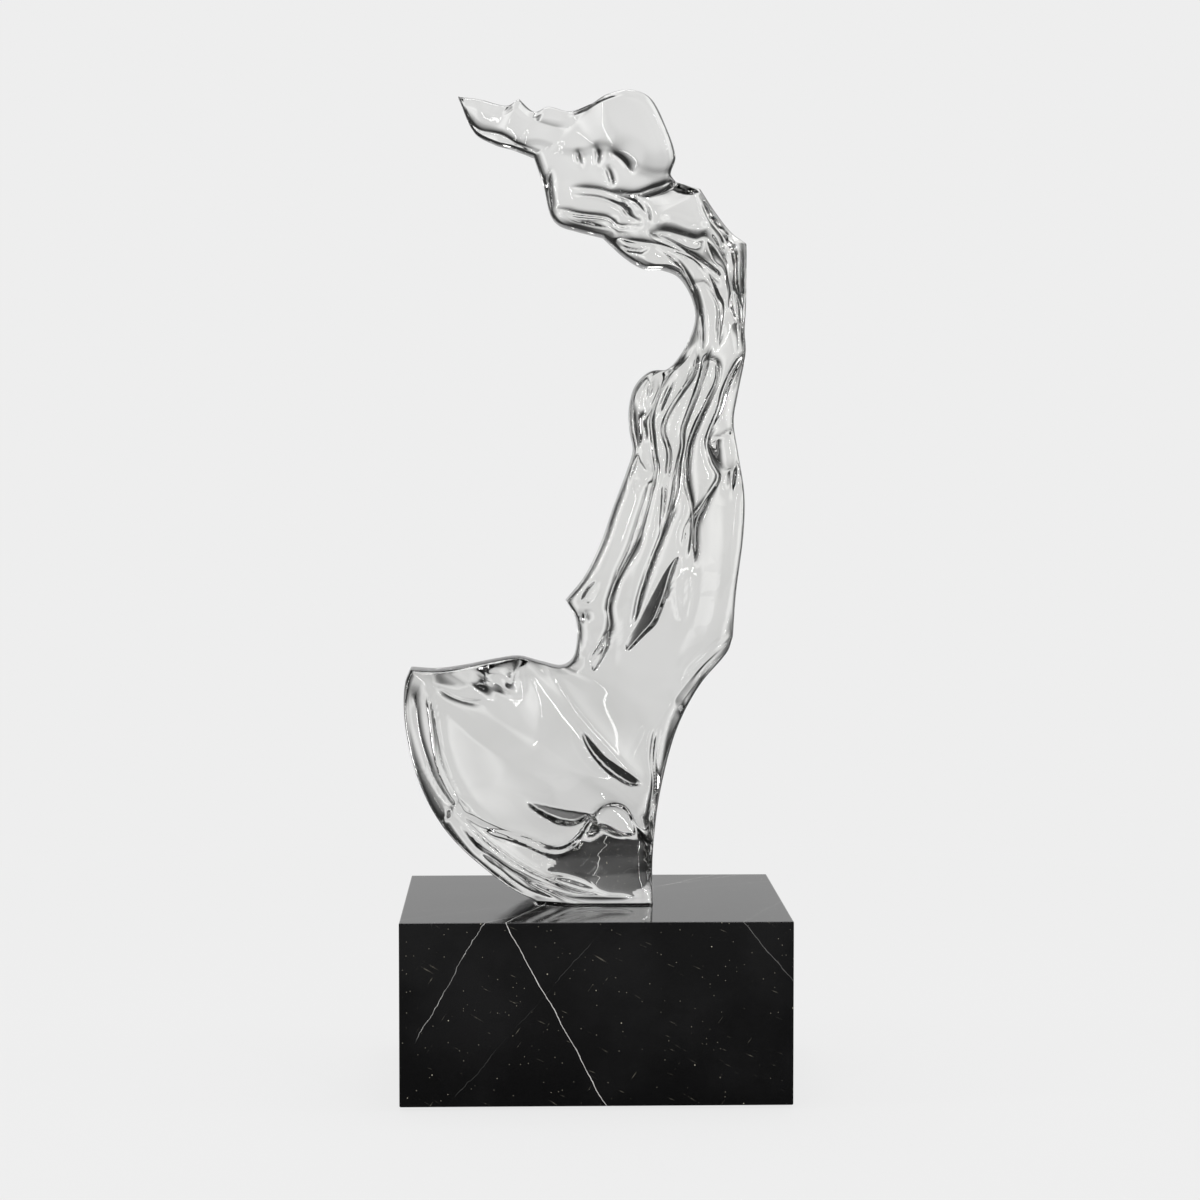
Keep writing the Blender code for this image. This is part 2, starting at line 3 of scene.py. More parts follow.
import bmesh
import bpy
import numpy as np
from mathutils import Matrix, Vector


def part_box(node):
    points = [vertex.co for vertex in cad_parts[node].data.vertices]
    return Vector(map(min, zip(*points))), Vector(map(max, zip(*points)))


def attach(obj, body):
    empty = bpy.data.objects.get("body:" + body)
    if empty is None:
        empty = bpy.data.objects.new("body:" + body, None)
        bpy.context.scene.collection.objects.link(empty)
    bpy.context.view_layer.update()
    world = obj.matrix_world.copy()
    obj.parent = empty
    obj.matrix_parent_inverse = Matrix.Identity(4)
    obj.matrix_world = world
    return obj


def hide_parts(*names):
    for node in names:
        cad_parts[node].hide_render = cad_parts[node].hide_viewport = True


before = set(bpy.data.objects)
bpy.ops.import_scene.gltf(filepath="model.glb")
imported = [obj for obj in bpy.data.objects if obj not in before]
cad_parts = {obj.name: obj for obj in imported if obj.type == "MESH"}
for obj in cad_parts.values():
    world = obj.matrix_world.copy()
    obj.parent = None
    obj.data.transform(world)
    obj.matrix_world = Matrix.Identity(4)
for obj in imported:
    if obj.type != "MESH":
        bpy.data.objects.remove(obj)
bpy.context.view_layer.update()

mm = 0.001
print("frame loaded")


# Small helpers for node trees. Every input takes an output socket to link, or a plain value.

def feed(tree, target, socket, source):
    if isinstance(source, bpy.types.NodeSocket):
        tree.links.new(source, target.inputs[socket])
    else:
        target.inputs[socket].default_value = source


def putNode(tree, kind, inputs=None, **settings):
    made = tree.nodes.new(kind)
    for name, value in settings.items():
        setattr(made, name, value)
    for socket, source in (inputs or {}).items():
        feed(tree, made, socket, source)
    return made


def maths(tree, operation, a, b=0.0):
    return putNode(tree, "ShaderNodeMath", {0: a, 1: b}, operation=operation).outputs[0]


def vectorMaths(tree, operation, a, b=(0.0, 0.0, 0.0)):
    made = putNode(tree, "ShaderNodeVectorMath", {0: a, 1: b}, operation=operation)
    return made.outputs["Value" if operation in ("DOT_PRODUCT", "LENGTH") else "Vector"]


def separate(tree, vector):
    return putNode(tree, "ShaderNodeSeparateXYZ", {0: vector}).outputs


def strongest(tree, values):
    found = values[0]
    for value in values[1:]:
        found = maths(tree, "MAXIMUM", found, value)
    return found


def ease(tree, value, low, high, start=0.0, end=1.0):
    # runs smoothly from start at low to end at high
    return putNode(
        tree, "ShaderNodeMapRange",
        {"Value": value, "From Min": low, "From Max": high, "To Min": start, "To Max": end},
        interpolation_type="SMOOTHSTEP").outputs["Result"]


def noise(tree, position, scale, detail=3.0, roughness=0.5):
    return putNode(tree, "ShaderNodeTexNoise", {
        "Vector": position, "Scale": scale, "Detail": detail,
        "Roughness": roughness}).outputs["Fac"]


def spots(tree, position, scale, inner, outer, bright=1.0):
    # a spot in the middle of each random cell, and the cell's random colour
    cell = putNode(tree, "ShaderNodeTexVoronoi", {"Vector": position, "Scale": scale},
                   feature="F1").outputs
    return ease(tree, cell["Distance"], inner, outer, bright, 0.0), cell["Color"]


def mixColour(tree, amount, a, b):
    return putNode(tree, "ShaderNodeMix", {"Factor": amount, "A": a, "B": b},
                   data_type="RGBA").outputs["Result"]


def newGroup(name, inputs, outputs):
    # inputs and outputs are given as name: socket type
    group = bpy.data.node_groups.new(name, "ShaderNodeTree")
    for way, sockets in (("INPUT", inputs), ("OUTPUT", outputs)):
        for label, kind in sockets.items():
            group.interface.new_socket(label, in_out=way, socket_type="NodeSocket" + kind)
    given = putNode(group, "NodeGroupInput").outputs
    return group, given, putNode(group, "NodeGroupOutput")


def useGroup(tree, group, inputs):
    return putNode(tree, "ShaderNodeGroup", inputs, node_tree=group).outputs


def newMaterial(name):
    made = bpy.data.materials.new(name)
    made.use_nodes = True
    tree = made.node_tree
    place = putNode(tree, "ShaderNodeTexCoord").outputs["Object"]
    return made, tree, tree.nodes["Principled BSDF"], place


def addBump(tree, shader, height, strength, distance):
    bump = putNode(tree, "ShaderNodeBump",
                   {"Strength": strength, "Distance": distance, "Height": height})
    feed(tree, shader, "Normal", bump.outputs["Normal"])


# Small helpers for pieces

def smoothMesh(name, shape):
    # turns a bmesh into a smooth mesh that keeps its sharp edges
    mesh = bpy.data.meshes.new(name)
    shape.to_mesh(mesh)
    shape.free()
    mesh.polygons.foreach_set("use_smooth", [True] * len(mesh.polygons))
    return mesh


def closeShell(shape, sharpFaces):
    # turns the faces outwards, with sharp edges round some, and cuts up those of many corners
    for face in sharpFaces:
        for edge in face.edges:
            edge.smooth = False
    bmesh.ops.recalc_face_normals(shape, faces=shape.faces)
    bmesh.ops.triangulate(shape, faces=[face for face in shape.faces if len(face.verts) > 4])


def finishPiece(name, mesh, material, slot, *nodes):
    piece = bpy.data.objects.new(name, mesh)
    mesh.materials.append(material)
    bpy.context.scene.collection.objects.link(piece)
    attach(piece, "root")
    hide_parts(*nodes)
    return piece


# Polish: the faint waviness and wiping haze of a hand-polished face, on stone and resin alike.
# Here and below, a noise is given by its scale, detail and roughness, and a pair of values
# says where a pattern starts to show and where it is full.

polish = {
    "hazeNoise": (35.0, 4.0, 0.6),
    "hazeFrom": (0.45, 0.7),
    "waveDetail": 1.0,
}


def makePolish():
    group, given, result = newGroup(
        "handPolish",
        {"Position": "Vector", "Wave Scale": "Float", "Haze": "Float", "Least Roughness": "Float"},
        {"Roughness": "Float", "Height": "Float"})
    clouds = ease(group, noise(group, given["Position"], *polish["hazeNoise"]),
                  *polish["hazeFrom"])
    amount = maths(group, "MULTIPLY", clouds, given["Haze"])
    feed(group, result, "Roughness", maths(group, "ADD", amount, given["Least Roughness"]))
    feed(group, result, "Height",
         noise(group, given["Position"], given["Wave Scale"], polish["waveDetail"]))
    return group


polishGroup = makePolish()


def addPolish(tree, shader, place, piece):
    waveScale, haze, leastRoughness = piece["polish"]
    polished = useGroup(tree, polishGroup, {
        "Position": place, "Wave Scale": waveScale, "Haze": haze,
        "Least Roughness": leastRoughness})
    feed(tree, shader, "Roughness", polished["Roughness"])
    addBump(tree, shader, polished["Height"], *piece["bump"])
    feed(tree, shader, "IOR", piece["ior"])


# Marble plinth

plinth = {
    "arris": 0.7 * mm,
    "arrisSteps": 3,
    "black": (0.0070, 0.0070, 0.0072, 1.0),
    "charcoal": (0.0112, 0.0112, 0.0115, 1.0),
    "clouds": (20.0, 5.0, 0.6),
    "cloudsFrom": (0.42, 0.68),
    "veinColour": (0.97, 0.96, 0.93, 1.0),
    "speckColour": (0.92, 0.86, 0.68, 1.0),
    "polish": (45.0, 0.035, 0.075),      # wave scale, haze, least roughness
    "bump": (0.05, 0.05 * mm),           # strength, height
    "ior": 1.48,
    # lean in degrees, scale, share left out, brightness
    "strokes": [(32.0, 42.0, 0.95, 0.14), (24.0, 90.0, 0.97, 0.20), (-58.0, 70.0, 0.98, 0.16)],
    "strokeShape": (1.0, 0.25, 0.06),    # size of its cells along each axis
    "strokeEdge": (0.05, 0.30),
    "strokeBreaks": (260.0, 4.0, 0.7),
    "strokeKept": (0.42, 0.60),
    # scale, size, share left out, brightness
    "specks": [(520.0, 0.16, 0.86, 0.60), (240.0, 0.085, 0.88, 0.90), (110.0, 0.05, 0.88, 1.00)],
    # each vein is a thin sheet through the block: the direction across it, how far from the
    # middle it lies, its thickness, how far it wanders, its strength, how broken it is,
    # and the height it starts from, in metres
    "veins": [
        ((0.878, -0.313, 0.478), 0.0302, 0.00022, 0.0050, 1.00, 0.10, -0.01),
        ((0.868, -0.70, -0.490), -0.0406, 0.00018, 0.0070, 0.60, 0.45, 0.034),
        ((0.710, -0.30, 0.640), 0.1374, 0.00026, 0.0050, 0.14, 0.45, 0.050),
        ((-0.747, 0.60, 0.665), 0.0105, 0.00024, 0.0060, 0.04, 0.90, -0.01),
        ((-0.565, 0.70, 0.640), 0.0680, 0.00028, 0.0050, 0.30, 0.55, 0.080),
        ((-0.455, 0.891, 0.050), 0.0077, 0.00026, 0.0040, 0.40, 0.40, 0.093),
        ((0.790, -0.610, 0.050), -0.0125, 0.00024, 0.0040, 0.34, 0.45, 0.093),
    ],
    "veinWander": (38.0, 6.0, 0.65),
    "veinSwell": (120.0, 2.0),
    "veinLeast": 0.35,                   # share of its thickness that the swell adds to
    "veinEdge": (0.35, 1.1),
    "veinBreaks": (46.0, 3.0),
    "veinKept": (0.44, 0.54),
    "veinStart": 0.008,                  # metres over which a vein comes up
}


veinInputs = ("Across", "Offset", "Thickness", "Wander", "Strength", "Broken", "Lowest")


def makeVein():
    group, given, result = newGroup(
        "stoneVein",
        {"Position": "Vector", **dict.fromkeys(veinInputs, "Float"), "Across": "Vector"},
        {"Mask": "Float"})
    position = given["Position"]
    along = vectorMaths(group, "DOT_PRODUCT", position, given["Across"])
    sway = maths(group, "SUBTRACT", noise(group, position, *plinth["veinWander"]), 0.5)
    shift = maths(group, "MULTIPLY", sway, given["Wander"])
    flat = maths(group, "SUBTRACT", along, given["Offset"])
    away = maths(group, "ABSOLUTE", maths(group, "ADD", flat, shift))
    swell = noise(group, position, *plinth["veinSwell"])
    width = maths(group, "MULTIPLY", given["Thickness"],
                  maths(group, "ADD", swell, plinth["veinLeast"]))
    line = ease(group, maths(group, "DIVIDE", away, width), *plinth["veinEdge"], 1.0, 0.0)
    gaps = ease(group, noise(group, position, *plinth["veinBreaks"]), *plinth["veinKept"])
    kept = maths(group, "SUBTRACT", 1.0,
                 maths(group, "MULTIPLY", given["Broken"],
                       maths(group, "SUBTRACT", 1.0, gaps)))
    over = maths(group, "SUBTRACT", separate(group, position)["Z"], given["Lowest"])
    reach = ease(group, over, 0.0, plinth["veinStart"])
    mask = maths(group, "MULTIPLY", maths(group, "MULTIPLY", line, kept), reach)
    feed(group, result, "Mask", maths(group, "MULTIPLY", mask, given["Strength"]))
    return group


def someOf(tree, spot, tone, leftOut):
    # the spots of those cells whose random tone is high enough
    return maths(tree, "MULTIPLY", spot, maths(tree, "GREATER_THAN", tone, leftOut))


def makeMarble():
    made, tree, shader, place = newMaterial("blackMarble")
    vein = makeVein()
    veins = [useGroup(tree, vein, {"Position": place, **dict(zip(veinInputs, row))})["Mask"]
             for row in plinth["veins"]]

    # faint strokes of paler mineral, drawn out along one direction and broken up
    strokes = []
    for lean, scale, leftOut, bright in plinth["strokes"]:
        laid = putNode(tree, "ShaderNodeMapping", {
            "Vector": place, "Scale": plinth["strokeShape"],
            "Rotation": (0.0, math.radians(lean), math.radians(lean / 2))},
            vector_type="TEXTURE").outputs[0]
        spot, colour = spots(tree, laid, scale, *plinth["strokeEdge"], bright)
        tones = putNode(tree, "ShaderNodeSeparateColor", {0: colour}).outputs
        strokes.append(someOf(tree, spot, tones[1], leftOut))
    ragged = ease(tree, noise(tree, place, *plinth["strokeBreaks"]), *plinth["strokeKept"])
    marks = [maths(tree, "MULTIPLY", strongest(tree, strokes), ragged)]

    # scattered pale specks, a few of them large
    for scale, size, leftOut, bright in plinth["specks"]:
        spot, colour = spots(tree, place, scale, size / 2, size, bright)
        tones = putNode(tree, "ShaderNodeSeparateColor", {0: colour}).outputs
        marks.append(someOf(tree, maths(tree, "MULTIPLY", tones[1], spot), tones[0], leftOut))

    clouds = ease(tree, noise(tree, place, *plinth["clouds"]), *plinth["cloudsFrom"])
    body = mixColour(tree, clouds, plinth["black"], plinth["charcoal"])
    veined = mixColour(tree, strongest(tree, veins), body, plinth["veinColour"])
    feed(tree, shader, "Base Color",
         mixColour(tree, strongest(tree, marks), veined, plinth["speckColour"]))
    addPolish(tree, shader, place, plinth)
    return made


def makePlinth():
    low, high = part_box("marble_plinth")
    block = bmesh.new()
    bmesh.ops.create_cube(block, size=1.0)
    bmesh.ops.scale(block, vec=high - low, verts=block.verts)
    bmesh.ops.translate(block, vec=(low + high) / 2, verts=block.verts)
    piece = finishPiece("marblePlinth", smoothMesh("marblePlinth", block), makeMarble(),
                        "black_marble", "marble_plinth")
    arris = piece.modifiers.new("arris", "BEVEL")
    arris.width = plinth["arris"]
    arris.segments = plinth["arrisSteps"]
    arris.harden_normals = True


makePlinth()
print("plinth made")


# Clear form: a loft from a left outline to a right outline, with a front and a back surface.
# Sizes in millimetres: x to the right, height above the face of the foot, y to the back.

form = {
    "width": 181.5,
    "height": 425.5,
    "depth": 56.0,
    "columns": 90,
    "fineColumns": 380,
    "edgeCrowding": 0.7,  # how much closer the fine columns lie at the edges
    "gather": 2.2,        # how strongly columns gather where a surface is steep
    "gatherReach": 3,     # rows to either side over which that is evened out
    "lineSteps": 6,       # points on a smooth line for each point given
    "rimRadius": 1.8,
    "edgeRadius": 1.6,    # the rounded part of an edge, before its facet
    "leastSwell": 2.5,
    "ribBlend": 26.0,     # length over which neighbouring ribs run into each other
    "creaseFade": 12.0,   # length over which a crease fades out at its ends
    "fadeShare": 0.4,     # or this share of a short crease
    "creaseRound": 0.3,   # how rounded the bottom of a groove is
    "creaseMargin": 40.0,  # how far round a crease its relief is worked out
    "panelMargin": 2.0,   # and round a panel or a notch
    "hollowShare": 0.28,  # part of a crease that is a soft hollow round its groove
    "hollowSpread": 4.0,
    "notchWall": 6.0,     # slope of the wall of a notch
    "clear": (0.905, 0.904, 0.889, 1.0),
    "paintedShadeGrey": (0.875, 0.874, 0.858, 1.0),       # painted soft shade: the grey where the veil is
    # the veil is painted soft shade, cloudy patches of grey in the resin's colour
    "paintedShadeVeil": (18.0, 3.0, 0.5),
    "paintedShadeVeilFrom": (0.42, 0.62),
    "headClear": (0.972, 0.972, 0.962, 1.0),   # the thin head is clearer than the thick stem
    "headFrom": (0.43, 0.49),
    "footClear": (0.860, 0.860, 0.850, 1.0),   # and the thick foot is the greyest
    # painted soft shade in the foot, where the veil is
    "footPaintedShadeGrey": (0.790, 0.790, 0.778, 1.0),
    "footTo": (0.22, 0.30),
    "polish": (50.0, 0.012, 0.0),
    "bump": (0.10, 0.15 * mm),
    "ior": 1.49,
}

# Outline points are x and height, and marks on some of them: "rib" where a rib joins the two
# outlines, and "corner" where the smooth curve breaks.
leftOutline = [
    # foot, and up the rim of the wave
    (-32.0, 0.0, "rib", "corner"),
    (-42.0, 5.0),
    (-55.0, 14.5),
    (-72.5, 30.5),
    (-84.5, 46.5),
    (-93.3, 66.0),
    (-98.6, 88.0),
    (-100.0, 104.0),
    (-99.1, 116.0),
    (-96.2, 123.2, "rib", "corner"),
    # the lip of the wave
    (-83.0, 122.4),
    (-68.0, 124.2),
    (-50.0, 127.6),
    (-39.0, 128.6, "rib"),
    (-28.0, 125.3),
    (-17.0, 122.7, "rib"),
    # the knee and the thorn
    (-10.5, 127.0),
    (-8.3, 139.0, "rib"),
    (-9.5, 149.0),
    (-14.5, 158.0, "rib", "corner"),
    # the stem
    (-4.5, 170.5),
    (4.0, 187.5),
    (11.0, 207.5),
    (18.5, 227.5),
    (21.3, 237.5, "rib"),
    # the knuckle
    (19.6, 248.0),
    (19.3, 260.0),
    (22.5, 271.5),
    (30.0, 279.0),
    (38.0, 279.8),
    (43.0, 283.2, "rib"),
    # the hollow of the neck
    (50.5, 294.5),
    (54.8, 307.5, "rib"),
    (52.5, 319.0),
    (45.5, 329.5),
    (36.0, 333.2),
    (27.0, 333.6, "rib"),
    (17.5, 338.7),
    (5.0, 349.5, "rib", "corner"),
    # under the crown
    (-9.0, 352.7),
    (-18.0, 355.6),
    (-22.5, 361.0, "rib"),
    (-26.0, 375.5),
    (-31.0, 390.0, "rib", "corner"),
    # under the bill
    (-42.0, 394.0, "rib"),
    (-51.0, 396.4, "rib"),
    (-62.0, 402.5, "rib"),
    (-70.3, 420.1, "rib", "corner"),
]

rightOutline = [
    # foot and waist of the wave
    (31.8, 0.0, "rib", "corner"),
    (31.6, 18.0),
    (32.8, 34.0, "rib"),
    (36.3, 56.0, "rib"),
    (42.0, 80.0),
    (48.0, 96.0, "rib"),
    (58.5, 114.0),
    (72.0, 130.0),
    (75.0, 138.5, "rib", "corner"),
    # the back of the stem
    (76.6, 162.0, "rib"),
    (80.3, 192.0),
    (80.8, 214.0),
    (77.2, 237.0, "rib"),
    (74.9, 253.0),
    (77.0, 267.0),
    (81.0, 289.0, "rib"),
    (80.4, 300.0),
    (81.0, 314.0, "rib"),
    (81.5, 346.0, "corner"),
    (73.5, 352.4, "rib"),
    (65.0, 363.0),
    (57.0, 375.0, "rib", "corner"),
    # the crown
    (43.8, 378.3, "rib", "corner"),
    (41.0, 382.2),
    (43.4, 391.0),
    (37.6, 408.0),
    (30.0, 421.3),
    (19.3, 425.5),
    (8.0, 423.0),
    (0.0, 418.2, "rib", "corner"),
    # the bill
    (-12.0, 414.0),
    (-23.5, 416.3),
    (-30.5, 413.6, "rib"),
    (-38.7, 420.2, "rib", "corner"),
    (-45.0, 416.7),
    (-60.0, 420.0, "rib"),
    (-70.1, 420.9, "rib", "corner"),
]

# One row for each rib: front swell, back swell, left edge y, right edge y, left edge width,
# left roundness, right edge width, right roundness, and how far apart the mesh rows are
# from this rib to the next
ribShapes = [
    (22.0, 22.0, 0.0, 0.0, 22.0, 0.6, 8.0, 0.95, 1.7),  # foot
    (18.0, 17.0, -13.0, 1.0, 14.0, 0.7, 8.0, 0.9, 1.4),  # tip of the wave
    (16.0, 17.0, -5.0, 4.0, 16.0, 0.5, 8.0, 0.6, 1.4),  # lip of the wave
    (15.0, 17.0, 3.0, 6.0, 8.0, 0.75, 9.0, 0.8, 1.4),  # where the lip meets the stem
    (15.0, 16.0, 2.0, 8.0, 5.0, 0.85, 9.0, 0.8, 1.3),  # knee of the stem
    (15.0, 16.0, -2.0, 8.0, 5.0, 0.9, 5.0, 0.85, 2.0),  # thorn
    (14.0, 14.0, 3.0, 6.0, 5.0, 0.85, 5.0, 0.85, 1.5),  # under the knuckle
    (13.0, 13.0, 6.0, 2.0, 6.0, 0.7, 5.0, 0.8, 1.4),  # over the knuckle
    (12.0, 13.0, 7.0, 0.0, 4.0, 0.9, 5.0, 0.8, 1.3),  # neck
    (13.0, 14.0, 4.0, 4.0, 5.0, 0.75, 5.0, 0.8, 1.1),  # bend of the neck
    (12.0, 13.0, 0.0, 3.0, 6.0, 0.65, 5.0, 0.8, 1.1),  # shoulder
    (10.0, 11.0, -6.0, -3.0, 5.0, 0.75, 4.0, 0.85, 1.5),  # under the crown
    (8.0, 8.0, -10.0, -8.0, 5.0, 0.8, 4.0, 0.85, 1.3),  # root of the bill
    (7.0, 8.0, -12.0, -11.0, 4.0, 0.8, 5.0, 0.8, 1.2),  # bill
    (6.0, 7.0, -13.0, -12.0, 4.0, 0.86, 6.0, 0.7, 1.2),  # crest on the bill
    (4.5, 5.0, -14.0, -13.0, 4.0, 0.88, 6.0, 0.8, 1.0),  # fore part of the bill
    (2.6, 2.6, -15.0, -15.0, 3.0, 0.85, 3.0, 0.85, 1.0),  # point
]

# Panels raised from the surfaces, or sunk where the rise is negative: front rise, back rise,
# run over which it rises from its outline, roundness, flatness, closed outline
panels = [
    # bowl of the wave
    (-4.5, 0.0, 32.0, 0.1, 0.0, [
        (-84, 113), (-83, 92), (-79, 72), (-73, 59), (-66, 48), (-50, 41), (-30, 37),
        (-17, 35), (-7, 40), (5, 51), (24, 58), (14, 74), (-6, 99), (-22, 118), (-34, 128),
        (-42, 122), (-42, 108), (-54, 106), (-68, 106)]),
    # mound over the foot
    (2.8, 0.0, 2.6, 0.4, 0.0, [
        (-78, 46), (-67, 47), (-58, 43), (-46, 39), (-34, 35), (-24, 30), (-16, 30),
        (-9, 35), (-3, 43), (3, 50), (10, 52), (17, 50), (22, 42), (27, 34), (36, 24),
        (60, -40), (-100, -40)]),
    # pocket under the lip
    (-4.0, 0.0, 3.6, 0.0, 1.0, [
        (-63, 115), (-58, 119), (-51, 120), (-45, 118), (-43, 112), (-46, 109), (-52, 111),
        (-58, 111)]),
    # eye of the thorn
    (-2.0, 0.0, 1.8, 0.0, 1.0, [
        (-6, 157), (-6, 161), (-3, 166), (2, 169), (3, 166), (1, 161), (-2, 157)]),
    # facet below the back of the stem
    (-3.0, 0.0, 5.0, 0.0, 1.0, [
        (76, 140), (66, 131), (56, 122), (48, 113), (43, 104), (52, 92), (70, 108),
        (90, 130)]),
    # crown and band of the bill
    (0.7, 0.3, 3.5, 0.1, 0.3, [
        (-80, 425), (-67, 411), (-60, 405), (-48, 401), (-38, 396), (-28, 396), (-16, 392),
        (-5, 392), (2, 395), (9, 394), (18, 387), (25, 383), (34, 381), (46, 384), (56, 400),
        (56, 450), (-80, 450)]),
    # lens of the crown
    (1.8, 1.2, 18.0, 0.0, 0.0, [
        (-12, 430), (-8, 404), (4, 390), (12, 387), (24, 380), (38, 380), (56, 392), (56, 430),
        (30, 450), (4, 450)]),
    # flat of the shoulder
    (-4.0, 0.0, 4.0, 0.3, 0.3, [
        (30, 357), (41, 358), (49, 355), (57, 354), (61, 355), (66, 349), (70, 344), (90, 366),
        (60, 400), (46, 384), (38, 377), (30, 374), (22, 371), (27, 364)]),
    # facets of the knuckle
    (-3.0, -2.0, 4.0, 0.0, 1.0, [(18, 222), (23, 237), (29, 233), (33, 224), (26, 222)]),
]

moundFacet = [
    (-26, 15), (-20, 19), (-12, 25), (-5, 31), (2, 37), (8, 35), (14, 31), (20, 29), (25, 29),
    (25, 18), (23, 7), (10, 8), (-4, 10), (-18, 12)]

# Notches: front slope, back slope, a point where the slope starts, the way it runs down in
# degrees, closed outline. The far side of a notch is a steep wall.
notches = [
    # grey facet behind the mound, in three steps that make it steeper towards its top
    (0.0, -0.20, (0.0, 9.0), 90, moundFacet),
    (0.0, -0.12, (0.0, 18.0), 90, moundFacet),
    (0.0, -0.14, (0.0, 26.0), 90, moundFacet),
    # pit behind the smooth foot of the stem
    (-1.35, 0.0, (16.0, 134.0), -28, [
        (44, 181), (41, 171), (39, 162), (36, 153), (33, 146), (27, 140), (18, 132), (18, 142),
        (24, 151), (28, 160), (36, 171)]),
    # dark sliver at the foot of the bowl
    (-1.45, 0.0, (-33.5, 53), -100, [
        (-34, 53), (-26, 51), (-18, 49), (-5, 47), (-2, 46), (-9, 41), (-16, 41), (-22, 43),
        (-31, 49)]),
    # fold at the foot of the valley
    (-1.4, 0.0, (-4.2, 88.4), 228, [
        (-6, 89), (-1, 84), (6, 76), (17, 68), (25, 62), (20, 60), (9, 66), (1, 74), (-4, 82)]),
    # leaf by the knee
    (-1.15, 0.0, (-1.8, 123), -19, [
        (7, 142), (8, 135), (5, 128), (0, 121), (-1, 127), (2, 134)]),
]

